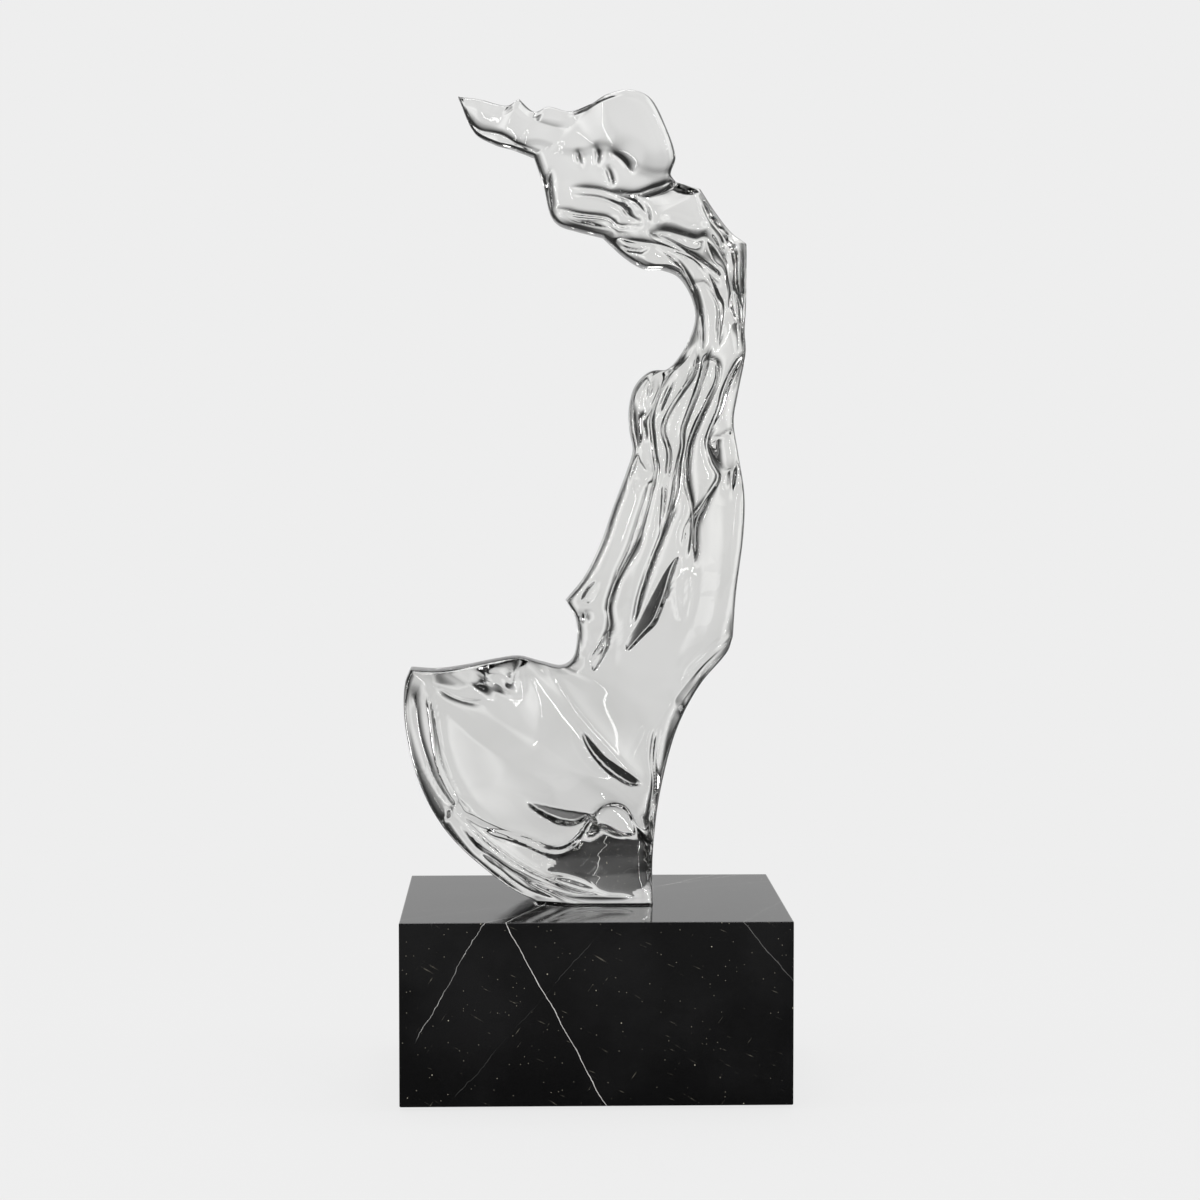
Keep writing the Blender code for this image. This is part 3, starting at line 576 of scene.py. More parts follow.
# Creases: front depth, back depth, half width, line. A negative depth stands up as a ridge.
creases = [
    # valley between wave and stem
    (5.5, 0.0, 9.0, [(-42, 136), (-25, 121), (-7, 98), (14, 74), (30, 54), (40, 36)]),
    # lines along the rim of the wave
    (2.7, 0.0, 0.9, [
        (-94, 114), (-92, 92), (-87, 74), (-79, 58), (-62, 39), (-38, 20), (-12, 8), (10, 3)]),
    (2.7, 0.0, 0.9, [(-86, 118), (-83, 101), (-78, 72), (-68, 50)]),
    (2.7, 0.0, 0.9, [(-62, 30), (-47, 19), (-32, 8), (-14, 0)]),
    (2.4, 0.0, 0.9, [(-60, 40), (-48, 37), (-36, 32), (-22, 26), (-11, 29), (-3, 39)]),
    (0.0, 2.7, 1.2, [(-91, 112), (-88, 86), (-74, 54), (-50, 28), (-22, 10)]),
    # lines of the mound and the foot
    (2.6, 0.0, 0.83, [(-47, 20), (-36, 13), (-25, 8), (-12, 4), (3, 3), (24, 3)]),
    (2.2, 0.0, 0.83, [(-27, 14), (-16, 13), (-6, 10), (3, 6)]),
    (0.0, 2.4, 1.05, [(22, 30), (25, 20), (22, 6)]),
    # strip along the waist
    (2.9, 0.0, 0.83, [(34, 96), (31, 77), (32, 60), (30, 42), (30, 24), (29, 5)]),
    (2.6, 1.9, 0.9, [(24, 43), (29, 43), (30, 36), (26, 32)]),
    # lip of the wave
    (3.0, 0.0, 0.83, [(-87, 118), (-76, 110), (-64, 106), (-52, 107)]),
    (2.9, 1.9, 1.05, [(-41, 126), (-43, 115), (-41, 104)]),
    (2.4, 1.9, 1.5, [(-58, 108), (-51, 112), (-43, 115)]),
    (2.4, 1.6, 0.98, [(-62, 123), (-56, 118), (-57, 112)]),
    # knee and thorn
    (3.2, 2.2, 1.2, [(-5, 155), (-4, 150), (-5, 145)]),
    # flutes of the stem
    (3.7, 2.2, 0.9, [
        (34, 234), (32, 221), (27, 202), (21, 186), (13, 171), (8, 156), (8, 142), (-4, 123)]),
    (3.0, 0.0, 0.68, [(31, 224), (25, 204), (18, 183), (10, 167)]),
    (3.7, 1.6, 0.83, [(55, 292), (53, 279), (47, 269), (40, 258), (37, 248), (40, 235), (38, 218)]),
    (3.4, 0.0, 0.83, [(37, 226), (37, 210), (35, 190)]),
    (3.7, 2.2, 0.9, [
        (63, 294), (59, 284), (55, 270), (50, 257), (47, 248), (47, 239), (45, 229), (43, 213),
        (38, 197)]),
    (3.7, 0.0, 0.9, [(44, 230), (42, 214), (38, 199), (29, 176), (24, 160), (22, 150), (19, 140)]),
    (0.0, 2.2, 0.9, [(44, 230), (42, 214), (38, 199), (32, 184)]),
    (3.7, 2.2, 0.9, [
        (57, 278), (60, 285), (65, 283), (65, 274), (60, 263), (54, 250), (50, 238), (49, 222),
        (53, 201), (50, 176)]),
    (3.7, 0.0, 0.9, [
        (80, 291), (73, 279), (69, 270), (66, 259), (61, 246), (60, 239), (63, 230), (66, 223),
        (60, 213), (54, 202), (49, 190)]),
    (3.7, 2.2, 0.9, [(47, 290), (43, 282), (37, 272), (31, 256), (31, 246), (34, 222)]),
    (2.9, 0.0, 0.75, [(44, 279), (38, 266), (33, 253)]),
    (3.5, 0.0, 0.9, [(18, 224), (26, 218), (36, 222)]),
    (3.4, 0.0, 0.83, [(60, 213), (51, 200), (48, 193), (48, 182)]),
    (3.2, 0.0, 0.83, [(53, 200), (53, 172)]),
    # knuckle
    (2.6, 2.2, 0.98, [(29, 280), (30, 270), (28, 258)]),
    (0.0, 2.6, 0.98, [(24, 275), (21, 264), (25, 256), (26, 244), (31, 235)]),
    # knot on the back of the stem
    (3.5, 0.0, 0.9, [(57, 243), (67, 244), (76, 251)]),
    (0.0, 2.7, 0.9, [(67, 245), (67, 233), (70, 222)]),
    (3.7, 2.7, 1.65, [(76, 235), (73, 223), (72, 210)]),
    # facet below the back of the stem
    (2.0, 0.0, 0.8, [(75, 143), (61, 132), (52, 123), (45, 112)]),
    (1.6, 0.0, 0.8, [(73, 136), (60, 124), (51, 113)]),
    # broad soft flutes low on the stem
    (0.9, 0.0, 3.0, [(29, 212), (22, 182), (16, 158), (12, 138), (9, 116)]),
    (0.8, 0.0, 3.0, [(58, 206), (57, 176), (51, 148), (40, 122)]),
    (-0.7, 0.0, 3.0, [(69, 216), (69, 184), (66, 156), (58, 134)]),
    # bright ridges low on the stem
    (-1.4, 0.0, 0.7, [(45, 180), (44, 162), (47, 148), (50, 158), (51, 176)]),
    # strands of the neck
    (2.6, 1.6, 0.8, [(30, 345), (37, 342), (46, 335), (53, 322), (57, 304), (57, 286)]),
    (2.6, 0.0, 0.8, [(48, 344), (57, 335), (63, 324), (67, 308), (65, 288)]),
    (2.6, 1.6, 0.8, [(60, 354), (69, 338), (72, 326), (77, 314), (78, 296)]),
    (2.6, 0.0, 0.8, [(55, 373), (62, 358), (69, 349), (73, 337), (73, 322), (72, 311), (78, 301)]),
    (2.6, 0.0, 0.8, [(48, 329), (53, 325), (59, 325), (64, 319), (68, 312), (64, 296)]),
    # wing and folds of the shoulder
    (6.5, 0.0, 2.8, [(26, 352), (38, 352), (46, 350), (54, 348), (60, 349), (66, 342), (72, 330)]),
    (2.6, 0.0, 0.8, [(26, 353), (39, 348), (52, 340), (62, 333), (68, 326)]),
    (0.0, 1.6, 0.8, [(20, 350), (38, 350), (54, 344), (66, 334), (72, 318)]),
    (3.7, 0.0, 0.98, [(9, 350), (21, 347), (35, 345), (50, 340), (59, 335), (68, 328)]),
    (2.9, 0.0, 0.83, [(13, 344), (25, 342), (31, 347)]),
    # slab under the crown
    (2.7, 1.9, 0.9, [(-22, 386), (-24, 372), (-21, 360)]),
    (3.2, 0.0, 0.83, [(-23, 364), (-9, 361), (7, 359), (14, 355), (30, 355)]),
    (0.0, 2.2, 0.9, [(-21, 359), (-11, 358), (2, 356), (11, 352), (24, 352)]),
    # stalk and leaf on it
    (3.5, 0.0, 0.83, [(-15, 374), (-9, 374), (3, 373), (14, 370), (23, 366), (29, 358)]),
    (3.5, 0.0, 0.83, [(-14, 371), (-9, 370), (3, 369), (14, 365), (19, 360), (27, 356)]),
    (-1.9, 0.0, 1.2, [(12, 368), (18, 366), (24, 359)]),
    # under the crown
    (3.2, 2.0, 0.9, [(7, 374), (19, 371), (30, 374), (38, 377), (46, 384)]),
    (2.6, 0.0, 0.8, [(7, 395), (10, 392), (15, 388), (19, 383), (22, 380)]),
    (3.0, 0.0, 0.9, [(6, 387), (9, 379), (10, 373)]),
    (2.2, 1.4, 0.9, [(-9, 395), (-8, 390), (-6, 384)]),
    (2.2, 1.4, 0.9, [(-1, 397), (2, 392), (1, 383)]),
    # bill
    (1.6, 1.2, 0.8, [(-67, 411), (-60, 404), (-48, 401), (-39, 396), (-29, 393)]),
    (1.2, 0.0, 1.4, [(-38, 413), (-30, 408), (-20, 405), (-10, 404)]),
]


def outlineLengths(points):
    # the points, how far along the outline each lies, and which of them have a rib
    place = np.array([point[:2] for point in points], float)
    chord = np.concatenate([[0.0], np.cumsum(np.linalg.norm(np.diff(place, axis=0), axis=1))])
    ribs = [i for i, point in enumerate(points) if "rib" in point]
    return place, chord, ribs


def sampleOutline(points, rowsBetween):
    # points on a smooth curve, one for each row of the mesh
    place, chord, ribs = outlineLengths(points)
    last = len(place) - 1

    def tangent(i, forward):
        before, after = max(i - 1, 0), min(i + 1, last)
        if "corner" in points[i]:
            before, after = (i, after) if forward else (before, i)
        return (place[after] - place[before]) / (chord[after] - chord[before])

    found = []
    for start, end, rows in zip(ribs[:-1], ribs[1:], rowsBetween):
        for at in np.linspace(chord[start], chord[end], rows, endpoint=False):
            i = int(np.clip(np.searchsorted(chord, at, side="right") - 1, start, end - 1))
            span = chord[i + 1] - chord[i]
            t = (at - chord[i]) / span
            found.append((2 * t**3 - 3 * t**2 + 1) * place[i]
                         + (t**3 - 2 * t**2 + t) * span * tangent(i, True)
                         + (3 * t**2 - 2 * t**3) * place[i + 1]
                         + (t**3 - t**2) * span * tangent(i + 1, False))
    found.append(place[-1])
    return np.array(found)


def blend(values, reach):
    # a running mean over reach values to either side, the nearest counting most
    window = np.hanning(2 * reach + 3)[1:-1]
    return np.convolve(np.pad(values, reach, mode="edge"), window / window.sum(), "valid")


def alongRibs(values, ribAt, rowAt):
    # straight from rib to rib, then blended over ribBlend
    steps = np.arange(math.floor(ribAt[-1]) + 2, dtype=float)
    straight = np.interp(steps, ribAt, values)
    return np.interp(rowAt, steps, blend(straight, round(form["ribBlend"] / 2)))[:, None]


def edgeProfile(distance, width, roundness):
    # a rounded edge for part of the swell, and a facet for the rest
    t = np.clip(distance / width, 0.0, 1.0)
    u = np.clip(distance / np.minimum(form["edgeRadius"], width), 0.0, 1.0)
    return roundness * np.sqrt(u * (2.0 - u)) + (1.0 - roundness) * t


def softMax(a, b, radius):
    # the larger of the two, blended where they are close
    reach = np.clip(0.5 + 0.5 * (a - b) / radius, 0.0, 1.0)
    return b + (a - b) * reach + radius * reach * (1.0 - reach)


def smoothLine(points, closed):
    # a smooth curve through the points
    place = np.array(points, float)
    count = len(place)
    found = []
    for i in range(count if closed else count - 1):
        near = [(i + k) % count if closed else min(max(i + k, 0), count - 1)
                for k in (-1, 0, 1, 2)]
        before, start, end, after = place[near]
        for t in np.linspace(0.0, 1.0, form["lineSteps"], endpoint=False):
            found.append(start + 0.5 * t * (end - before)
                         + t * t * (before - 2.5 * start + 2 * end - 0.5 * after)
                         + t**3 * (1.5 * (start - end) + 0.5 * (after - before)))
    return np.array(found if closed else [*found, place[-1]])


def depthInside(x, height, outline):
    # distance from a closed smooth outline, positive inside it
    outline = smoothLine(outline, True)
    away = np.full(x.shape, np.inf)
    inside = np.zeros(x.shape, bool)
    for (x0, h0), (x1, h1) in zip(outline, np.roll(outline, -1, axis=0)):
        dx, dh = x1 - x0, h1 - h0
        at = np.clip(((x - x0) * dx + (height - h0) * dh) / (dx * dx + dh * dh), 0.0, 1.0)
        away = np.minimum(away, np.hypot(x - x0 - at * dx, height - h0 - at * dh))
        crosses = (h0 > height) != (h1 > height)
        inside ^= crosses & (x < x0 + (height - h0) * dx / (dh if dh else 1e-9))
    return np.where(inside, away, -away)


def panelRelief(x, height, run, roundness, flatness, outline):
    t = np.clip(depthInside(x, height, outline) / run, 0.0, 1.0)
    return (roundness * np.sqrt(t * (2.0 - t)) + flatness * t
            + (1.0 - roundness - flatness) * t * t * (3.0 - 2.0 * t))


def notchRelief(x, height, start, lean, outline):
    turn = math.radians(lean)
    along = (x - start[0]) * math.cos(turn) + (height - start[1]) * math.sin(turn)
    wall = depthInside(x, height, outline) * form["notchWall"]
    return np.clip(np.minimum(along, wall), 0.0, None)


def creaseRelief(x, height, halfWidth, line):
    # 1 on the line, 0 away from it, fading out at both ends
    line = smoothLine(line, False)
    lengths = np.linalg.norm(np.diff(line, axis=0), axis=1)
    startOf = np.concatenate([[0.0], np.cumsum(lengths)])
    nearest = np.full(x.shape, np.inf)
    travel = np.zeros(x.shape)
    for i, length in enumerate(lengths):
        dx, dh = (line[i + 1] - line[i]) / length
        at = np.clip((x - line[i][0]) * dx + (height - line[i][1]) * dh, 0, length)
        away = np.hypot(x - line[i][0] - at * dx, height - line[i][1] - at * dh)
        closer = away < nearest
        nearest = np.where(closer, away, nearest)
        travel = np.where(closer, startOf[i] + at, travel)
    reach = min(form["creaseFade"], form["fadeShare"] * startOf[-1])
    fade = np.clip(np.minimum(travel, startOf[-1] - travel) / reach, 0.0, 1.0)
    soft = form["creaseRound"]
    groove = np.exp(soft - np.hypot(nearest / halfWidth, soft))
    hollow = np.exp(soft - np.hypot(nearest / halfWidth / form["hollowSpread"], soft))
    return (groove + (hollow - groove) * form["hollowShare"]) * fade * fade * (3 - 2 * fade)


def addRelief(x, height, reliefs, swells, shape, margin):
    # adds one list of reliefs to both surfaces, only where each of them reaches
    for frontAmount, backAmount, *rest in reliefs:
        line = np.array(rest[-1], float)
        near = ((x > line[:, 0].min() - margin) & (x < line[:, 0].max() + margin)
                & (height > line[:, 1].min() - margin) & (height < line[:, 1].max() + margin))
        relief = shape(x[near], height[near], *rest)
        for swell, amount in zip(swells, (frontAmount, backAmount)):
            swell[near] += amount * relief


def formSurfaces():
    # front and back points as grids, rows by columns by three, in millimetres
    lengths = []
    for outline in (leftOutline, rightOutline):
        place, chord, ribs = outlineLengths(outline)
        lengths.append(np.diff(chord[ribs]))
    longest = np.maximum(*lengths)
    rows = [max(3, math.ceil(length / rib[-1])) for length, rib in zip(longest, ribShapes)]
    ribAt = np.concatenate([[0.0], np.cumsum(longest)])
    rowAt = np.interp(np.arange(sum(rows) + 1), np.concatenate([[0], np.cumsum(rows)]), ribAt)
    left = sampleOutline(leftOutline, rows)
    right = sampleOutline(rightOutline, rows)
    shapes = [alongRibs(column, ribAt, rowAt) for column in np.array(ribShapes).T[:-1]]
    frontSwell, backSwell, leftY, rightY, leftWidth, leftRound, rightWidth, rightRound = shapes

    step = np.linspace(0.0, 1.0, form["fineColumns"] + 1)[None, :]
    share = step - form["edgeCrowding"] * np.sin(2 * math.pi * step) / (2 * math.pi)
    x = left[:, :1] + (right[:, :1] - left[:, :1]) * share
    height = left[:, 1:] + (right[:, 1:] - left[:, 1:]) * share
    middle = leftY + (rightY - leftY) * share
    across = np.linalg.norm(right - left, axis=1)[:, None]
    edges = edgeProfile(across * share, np.minimum(leftWidth, 0.5 * across), leftRound)
    edges *= edgeProfile(across * (1 - share), np.minimum(rightWidth, 0.5 * across), rightRound)
    fromEdge = across * np.minimum(share, 1 - share)
    rim = form["rimRadius"] * edgeProfile(
        fromEdge, np.minimum(form["rimRadius"], 0.5 * across), 1.0)

    swells = [frontSwell + 0 * x, backSwell + 0 * x]
    grooves = [(-front, -back, *rest) for front, back, *rest in creases]
    for reliefs, shape, margin in ((panels, panelRelief, form["panelMargin"]),
                                   (notches, notchRelief, form["panelMargin"]),
                                   (grooves, creaseRelief, form["creaseMargin"])):
        addRelief(x, height, reliefs, swells, shape, margin)
    least = form["leastSwell"]
    depths = [middle - rim - edges * softMax(swells[0], least, least),
              middle + rim + edges * softMax(swells[1], least, least)]
    fine = np.stack([np.stack([x, y, height], axis=-1) for y in depths])
    extent = fine.max(axis=(0, 1, 2)) - fine.min(axis=(0, 1, 2))
    fine *= np.array([form["width"], form["depth"], form["height"]]) / extent
    return [gatherColumns(side) for side in fine]


def gatherColumns(side):
    # fewer columns over calm stretches of a row, more over its creases and edges
    rise = np.abs(np.diff(side[:, :, 1], axis=1))
    run = np.linalg.norm(np.diff(side[:, :, ::2], axis=1), axis=2)
    weight = np.hypot(run, form["gather"] * rise)
    weight = np.apply_along_axis(blend, 0, weight, form["gatherReach"])
    found = []
    for points, weights in zip(side, weight):
        gone = np.concatenate([[0.0], np.cumsum(weights)])
        at = np.linspace(0.0, gone[-1], form["columns"] + 1)
        found.append(np.stack([np.interp(at, gone, points[:, k]) for k in range(3)], axis=-1))
    return np.array(found)


def makeForm():
    front, back = formSurfaces()
    lift = np.array([0.0, 0.0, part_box("clear_form")[0].z])
    rows, columns = front.shape[:2]
    loft = bmesh.new()
    placed = [[loft.verts.new(point) for point in row] for row in front * mm + lift]
    behind = [[row[0], *(loft.verts.new(point) for point in far[1:-1]), row[-1]]
              for row, far in zip(placed, back * mm + lift)]
    for i in range(rows - 1):
        for j in range(columns - 1):
            loft.faces.new([placed[i][j], placed[i][j + 1],
                            placed[i + 1][j + 1], placed[i + 1][j]])
            loft.faces.new([behind[i][j + 1], behind[i][j],
                            behind[i + 1][j], behind[i + 1][j + 1]])
    foot = loft.faces.new([*reversed(placed[0]), *behind[0][1:-1]])
    loft.faces.new([*placed[-1], *reversed(behind[-1][1:-1])])
    closeShell(loft, [foot])
    mesh = smoothMesh("clearForm", loft)
    print("form has", sum(len(p.vertices) - 2 for p in mesh.polygons), "triangles")
    footEdge = [(p[0], p[1]) for p in [*front[0], *back[0][-2:0:-1]]]
    return mesh, footEdge


def makeResin():
    made, tree, shader, place = newMaterial("clearResin")
    # painted soft shade: cloudy patches of grey mixed into the resin's colour, in the stem and in
    # the foot
    paintedShadeVeil = ease(tree, noise(tree, place, *form["paintedShadeVeil"]), *form["paintedShadeVeilFrom"])
    height = separate(tree, place)["Z"]
    head = ease(tree, height, *form["headFrom"])
    foot = ease(tree, height, *form["footTo"], 1.0, 0.0)
    stem = mixColour(tree, foot, mixColour(tree, paintedShadeVeil, form["clear"], form["paintedShadeGrey"]),
                     mixColour(tree, paintedShadeVeil, form["footClear"], form["footPaintedShadeGrey"]))
    feed(tree, shader, "Base Color", mixColour(tree, head, stem, form["headClear"]))
    addPolish(tree, shader, place, form)
    feed(tree, shader, "Transmission Weight", 1.0)
    return made


formMesh, footEdge = makeForm()
finishPiece("clearForm", formMesh, makeResin(), "clear_resin", "clear_form")
print("form made")


# Bond film: clear adhesive pressed out to a hollow fillet between the stone and the foot

bond = {
    "drawnIn": (0.7, 1.6, 1.0),   # how far in from the foot's edge: low, middle, high
    "seat": 0.03,
    "tint": (0.90, 0.91, 0.89, 1.0),
    "bubbles": (900.0, 0.10, 0.22),   # scale, and the inner and outer edge of a bubble
    "bubbleTint": (0.98, 0.98, 0.98, 1.0),
    "bump": (0.3, 0.1 * mm),
    "roughness": 0.08,
    "ior": 1.46,
}


def makeBond():
    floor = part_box("marble_plinth")[1].z / mm + bond["seat"]
    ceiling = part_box("clear_form")[0].z / mm - bond["seat"]
    outline = np.array(footEdge)[::2]
    centre = (outline.min(axis=0) + outline.max(axis=0)) / 2
    half = (outline.max(axis=0) - outline.min(axis=0)) / 2
    film = bmesh.new()
    rings = []
    for height, inset in zip((floor, (floor + ceiling) / 2, ceiling), bond["drawnIn"]):
        ring = centre + (outline - centre) * (1 - inset / half.min())
        rings.append([film.verts.new((x * mm, y * mm, height * mm)) for x, y in ring])
    count = len(rings[0])
    for lower, upper in zip(rings[:-1], rings[1:]):
        for k in range(count):
            film.faces.new([lower[k], lower[(k + 1) % count], upper[(k + 1) % count], upper[k]])
    closeShell(film, [film.faces.new(list(reversed(rings[0]))), film.faces.new(rings[-1])])
    return smoothMesh("bondFilm", film)


def makeAdhesive():
    made, tree, shader, place = newMaterial("clearAdhesive")
    bubbles = spots(tree, place, *bond["bubbles"])[0]
    feed(tree, shader, "Base Color", mixColour(tree, bubbles, bond["tint"], bond["bubbleTint"]))
    addBump(tree, shader, bubbles, *bond["bump"])
    feed(tree, shader, "Roughness", bond["roughness"])
    feed(tree, shader, "IOR", bond["ior"])
    feed(tree, shader, "Transmission Weight", 1.0)
    return made


finishPiece("bondFilm", makeBond(), makeAdhesive(), "clear_adhesive", "bond_film")
print("bond made")


# Felt pads under the corners

pads = {
    "nodes": ("felt_pad_front_left", "felt_pad_front_right",
              "felt_pad_back_left", "felt_pad_back_right"),
    "sides": 64,
    "rimAngle": 1.0,              # radians, more than between two sides
    "softEdge": 0.35 * mm,
    "edgeSteps": 3,
    "sharpFrom": 50.0,            # degrees
    "dark": (0.010, 0.010, 0.011, 1.0),
    "pale": (0.055, 0.054, 0.053, 1.0),
    "fibres": (1800.0, 6.0, 0.7),
    "felting": (350.0, 3.0, 0.6),
    "paleFrom": (0.15, 0.40),
    "bump": (0.8, 0.3 * mm),
    "roughness": 0.95,
    "sheen": 0.4,
}


def makeFelt():
    made, tree, shader, place = newMaterial("blackFelt")
    fibres = noise(tree, place, *pads["fibres"])
    both = maths(tree, "MULTIPLY", fibres, noise(tree, place, *pads["felting"]))
    feed(tree, shader, "Base Color",
         mixColour(tree, ease(tree, both, *pads["paleFrom"]), pads["dark"], pads["pale"]))
    addBump(tree, shader, fibres, *pads["bump"])
    feed(tree, shader, "Roughness", pads["roughness"])
    feed(tree, shader, "Sheen Weight", pads["sheen"])
    return made


def makePads():
    felt = makeFelt()
    for node in pads["nodes"]:
        low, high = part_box(node)
        radius = (high.x - low.x) / 2
        disc = bmesh.new()
        bmesh.ops.create_cone(disc, cap_ends=True, segments=pads["sides"], radius1=radius,
                              radius2=radius, depth=high.z - low.z)
        bmesh.ops.translate(disc, vec=(low + high) / 2, verts=disc.verts)
        rims = [edge for edge in disc.edges if edge.calc_face_angle(0.0) > pads["rimAngle"]]
        bmesh.ops.bevel(disc, geom=rims, offset=pads["softEdge"], segments=pads["edgeSteps"],
                        profile=0.5, affect="EDGES")
        mesh = smoothMesh(node + "Soft", disc)
        mesh.set_sharp_from_angle(angle=math.radians(pads["sharpFrom"]))
        finishPiece(node + "_soft", mesh, felt, "felt", node)


makePads()
print("pads made")


# Surroundings: a pale studio, with windows of light all round that the clear form looks
# through, and dark flags between them that draw its creases

studio = {
    "pale": 0.855,
    "window": 0.78,
    "flag": 0.03,
    "windowEdge": (0.08, 0.50),     # radians from the middle of a window
    "rim": 0.25,                    # softboxes beside each window, brighter than its middle
    "rimEdges": (0.08, 0.16, 0.20, 0.31),
    "corner": 0.50,                 # the narrow windows between the main four
    "cornerEdge": (0.08, 0.20),
    "floorDrop": 0.07,              # how far below the windows the floor is taken to lie
    "plainLight": 0.55,
    "gloss": (0.12, 0.78),          # how much of the light in front and behind gloss shows
    "floorTurn": (-0.1, 0.6),       # where that changes, on the floor and in the room
    "roomTurn": (-0.2, 0.3),
    "backdropLow": 0.35,            # the windows reach higher for gloss, by one over this
    "floorSize": 8.0,
    "floorShade": 0.10,             # how much of the object's shadow the floor keeps
    "shadeReach": (0.25, 0.90),     # metres from the middle over which that fades out
    "floorColour": (0.80, 0.80, 0.80, 1.0),
    "lampsAim": Vector((0.0, 0.0, 0.3)),
    # place, width, height, power
    "lamps": {
        "stripLeft": ((-1.7, -0.4, 0.7), 0.35, 1.2, 8.0),
        "stripRight": ((1.7, -0.2, 0.7), 0.35, 1.2, 7.0),
        "top": ((0.0, 0.3, 1.9), 0.9, 0.9, 16.0),
        "streakLeft": ((-0.8, -1.7, 0.8), 0.06, 0.9, 3.5),
        "streakRight": ((0.9, -1.6, 0.6), 0.04, 0.9, 3.0),
    },
}


def makeWindows():
    group, given, result = newGroup(
        "windowsOfLight", {"Direction": "Vector"}, {"Brightness": "Float"})
    way = separate(group, vectorMaths(group, "NORMALIZE", given["Direction"]))
    turn = maths(group, "ARCTAN2", way["X"], way["Y"])
    # the angle to the nearest of the four main windows, a quarter turn apart
    aside = maths(group, "PINGPONG", turn, math.pi / 4)
    elevation = maths(group, "ARCSINE", way["Z"])
    windows = ((aside, studio["windowEdge"], studio["window"]),
               (maths(group, "SUBTRACT", math.pi / 4, aside), studio["cornerEdge"],
                studio["corner"]))
    glows = []
    for offset, (start, end), level in windows:
        squares = maths(group, "ADD", maths(group, "MULTIPLY", offset, offset),
                        maths(group, "MULTIPLY", elevation, elevation))
        glows.append(ease(group, maths(group, "SQRT", squares), start, end, level,
                          studio["flag"]))
    rimStart, rimFull, rimEase, rimEnd = studio["rimEdges"]
    rise = ease(group, aside, rimStart, rimFull, 0.0, studio["rim"])
    fall = ease(group, aside, rimEase, rimEnd, 1.0, 0.0)
    level = ease(group, maths(group, "ABSOLUTE", elevation), *studio["windowEdge"], 1.0, 0.0)
    rims = maths(group, "MULTIPLY", level, maths(group, "MULTIPLY", rise, fall))
    feed(group, result, "Brightness", maths(group, "ADD", strongest(group, glows), rims))
    return group


windowsGroup = makeWindows()


def makeFloor():
    made = bpy.data.materials.new("paleFloor")
    made.use_nodes = True
    tree = made.node_tree
    tree.nodes.clear()
    rays = putNode(tree, "ShaderNodeLightPath").outputs
    place = vectorMaths(tree, "MULTIPLY", putNode(tree, "ShaderNodeTexCoord").outputs["Object"],
                        (1.0, 1.0, 0.0))
    dropped = vectorMaths(tree, "SUBTRACT", place, (0.0, 0.0, studio["floorDrop"]))
    seen = useGroup(tree, windowsGroup, {"Direction": dropped})["Brightness"]
    shade = ease(tree, vectorMaths(tree, "LENGTH", place), *studio["shadeReach"],
                 studio["floorShade"], 0.0)
    plainShare = maths(tree, "MULTIPLY", rays["Is Camera Ray"],
                       maths(tree, "SUBTRACT", 1.0, shade))
    plain = maths(tree, "MULTIPLY", plainShare, studio["pale"])
    facing = ease(tree, separate(tree, place)["Y"], *studio["floorTurn"], *studio["gloss"])
    gloss = maths(tree, "MULTIPLY", rays["Is Glossy Ray"], maths(tree, "MULTIPLY", seen, facing))
    through = maths(tree, "MULTIPLY", rays["Is Transmission Ray"], seen)
    glow = putNode(tree, "ShaderNodeEmission", {
        "Strength": maths(tree, "ADD", plain, maths(tree, "MAXIMUM", gloss, through))})
    # the part of the floor that still takes light and shadow, by the kind of ray
    cloth = putNode(tree, "ShaderNodeBsdfDiffuse", {"Color": studio["floorColour"]})
    bent = maths(tree, "MAXIMUM", rays["Is Glossy Ray"], rays["Is Transmission Ray"])
    share = maths(tree, "SUBTRACT", 1.0, maths(tree, "ADD", plainShare, bent))
    nothing = putNode(tree, "ShaderNodeEmission", {"Strength": 0.0})
    lit = putNode(tree, "ShaderNodeMixShader",
                  {0: share, 1: nothing.outputs[0], 2: cloth.outputs[0]})
    both = putNode(tree, "ShaderNodeAddShader", {0: glow.outputs[0], 1: lit.outputs[0]})
    putNode(tree, "ShaderNodeOutputMaterial", {"Surface": both.outputs[0]})

    half = studio["floorSize"] / 2
    mesh = bpy.data.meshes.new("floor")
    mesh.from_pydata([(-half, -half, 0), (half, -half, 0), (half, half, 0), (-half, half, 0)],
                     [], [(0, 1, 2, 3)])
    mesh.materials.append(made)
    floor = bpy.data.objects.new("floor", mesh)
    bpy.context.scene.collection.objects.link(floor)


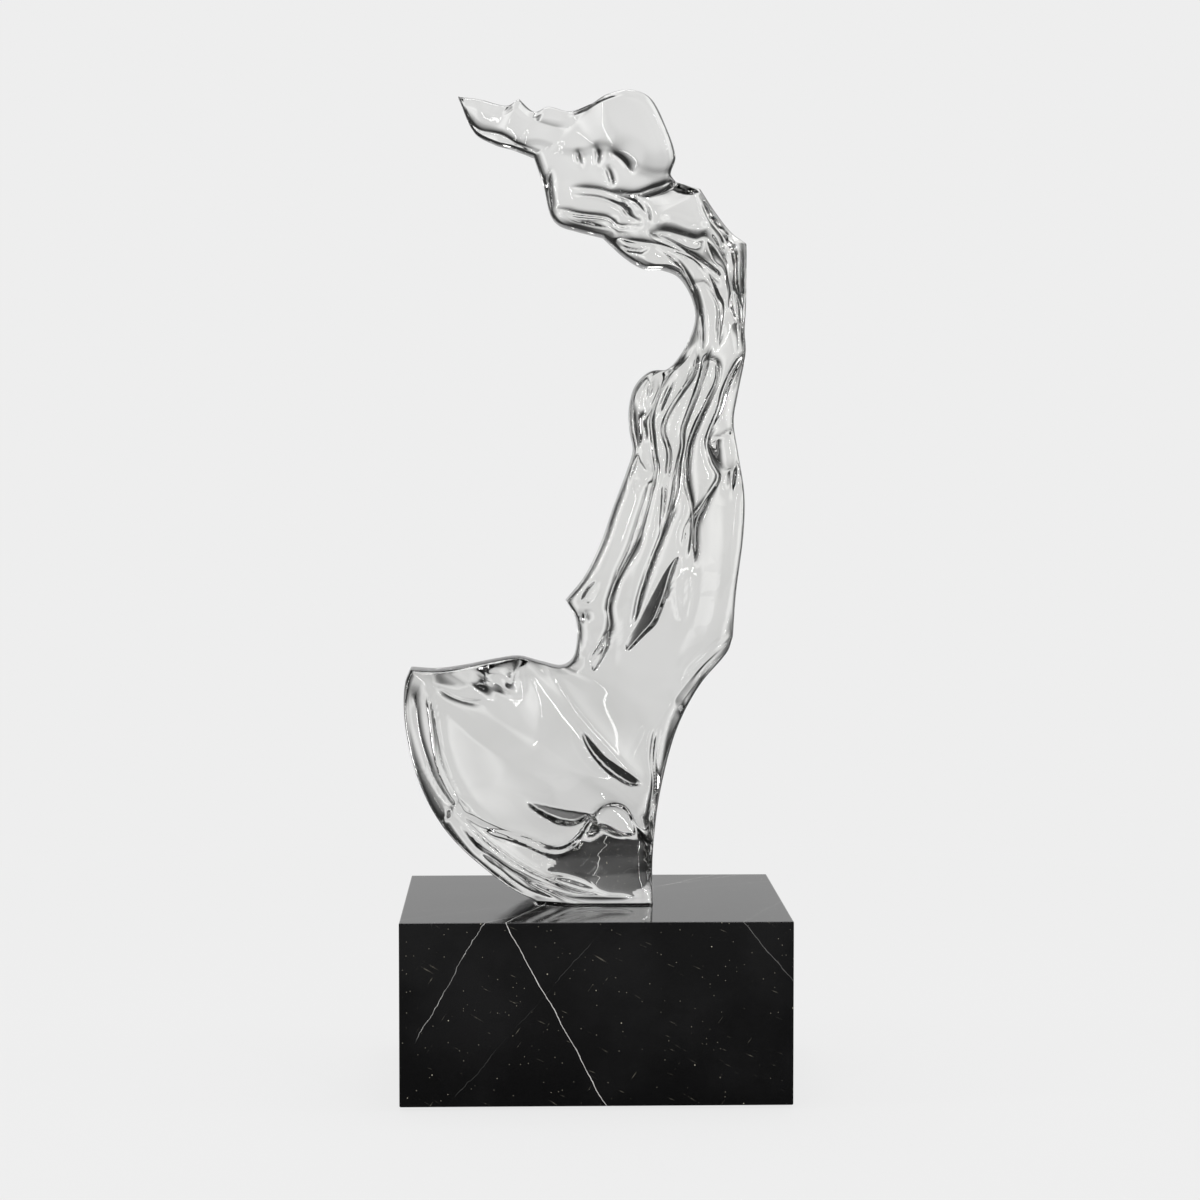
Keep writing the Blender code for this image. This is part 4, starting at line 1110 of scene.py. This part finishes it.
def makeWorld():
    world = bpy.data.worlds.new("studio")
    bpy.context.scene.world = world
    world.use_nodes = True
    tree = world.node_tree
    tree.nodes.clear()
    direction = putNode(tree, "ShaderNodeTexCoord").outputs["Generated"]
    rays = putNode(tree, "ShaderNodeLightPath").outputs
    windows = useGroup(tree, windowsGroup, {"Direction": direction})["Brightness"]
    facing = ease(tree, separate(tree, direction)["Y"], *studio["roomTurn"], *studio["gloss"])
    lowered = vectorMaths(tree, "MULTIPLY", direction, (1.0, 1.0, studio["backdropLow"]))
    tall = useGroup(tree, windowsGroup, {"Direction": lowered})["Brightness"]
    passing = rays["Is Transmission Ray"]
    mirrored = maths(tree, "MULTIPLY", rays["Is Glossy Ray"],
                     maths(tree, "SUBTRACT", 1.0, passing))
    gloss = maths(tree, "MULTIPLY", maths(tree, "MULTIPLY", tall, facing), mirrored)
    through = maths(tree, "MULTIPLY", windows, passing)
    direct = maths(tree, "MULTIPLY", rays["Is Camera Ray"], studio["pale"])
    plain = maths(tree, "MULTIPLY", rays["Is Diffuse Ray"], studio["plainLight"])
    background = putNode(tree, "ShaderNodeBackground", {
        "Color": (1.0, 1.0, 1.0, 1.0),
        "Strength": strongest(tree, [gloss, through, direct, plain])})
    putNode(tree, "ShaderNodeOutputWorld", {"Surface": background.outputs[0]})


def makeLamps():
    for name, (place, width, height, power) in studio["lamps"].items():
        light = bpy.data.lights.new(name, "AREA")
        light.shape = "RECTANGLE"
        light.size = width
        light.size_y = height
        light.energy = power
        lamp = bpy.data.objects.new(name, light)
        bpy.context.scene.collection.objects.link(lamp)
        lamp.location = place
        aim = studio["lampsAim"] - Vector(place)
        lamp.rotation_euler = aim.to_track_quat("-Z", "Y").to_euler()


makeFloor()
makeWorld()
makeLamps()
print("studio made")


# Camera, fitted to the plinth's corners

view = {
    "place": (-0.0364, -1.4626, 0.3301),
    "tilt": 90.0 - 2.941,
    "turn": -1.576,
    "sensor": 36.0,
    "focalPixels": 2756.0,
    "pictureWidth": 1200.0,
}

camera = bpy.data.objects.new("camera", bpy.data.cameras.new("camera"))
camera.data.sensor_width = view["sensor"]
camera.data.lens = view["sensor"] * view["focalPixels"] / view["pictureWidth"]
camera.location = view["place"]
camera.rotation_euler = (math.radians(view["tilt"]), 0.0, math.radians(view["turn"]))
bpy.context.scene.collection.objects.link(camera)
bpy.context.scene.camera = camera
bpy.context.scene.view_settings.view_transform = "Standard"
print("camera set")
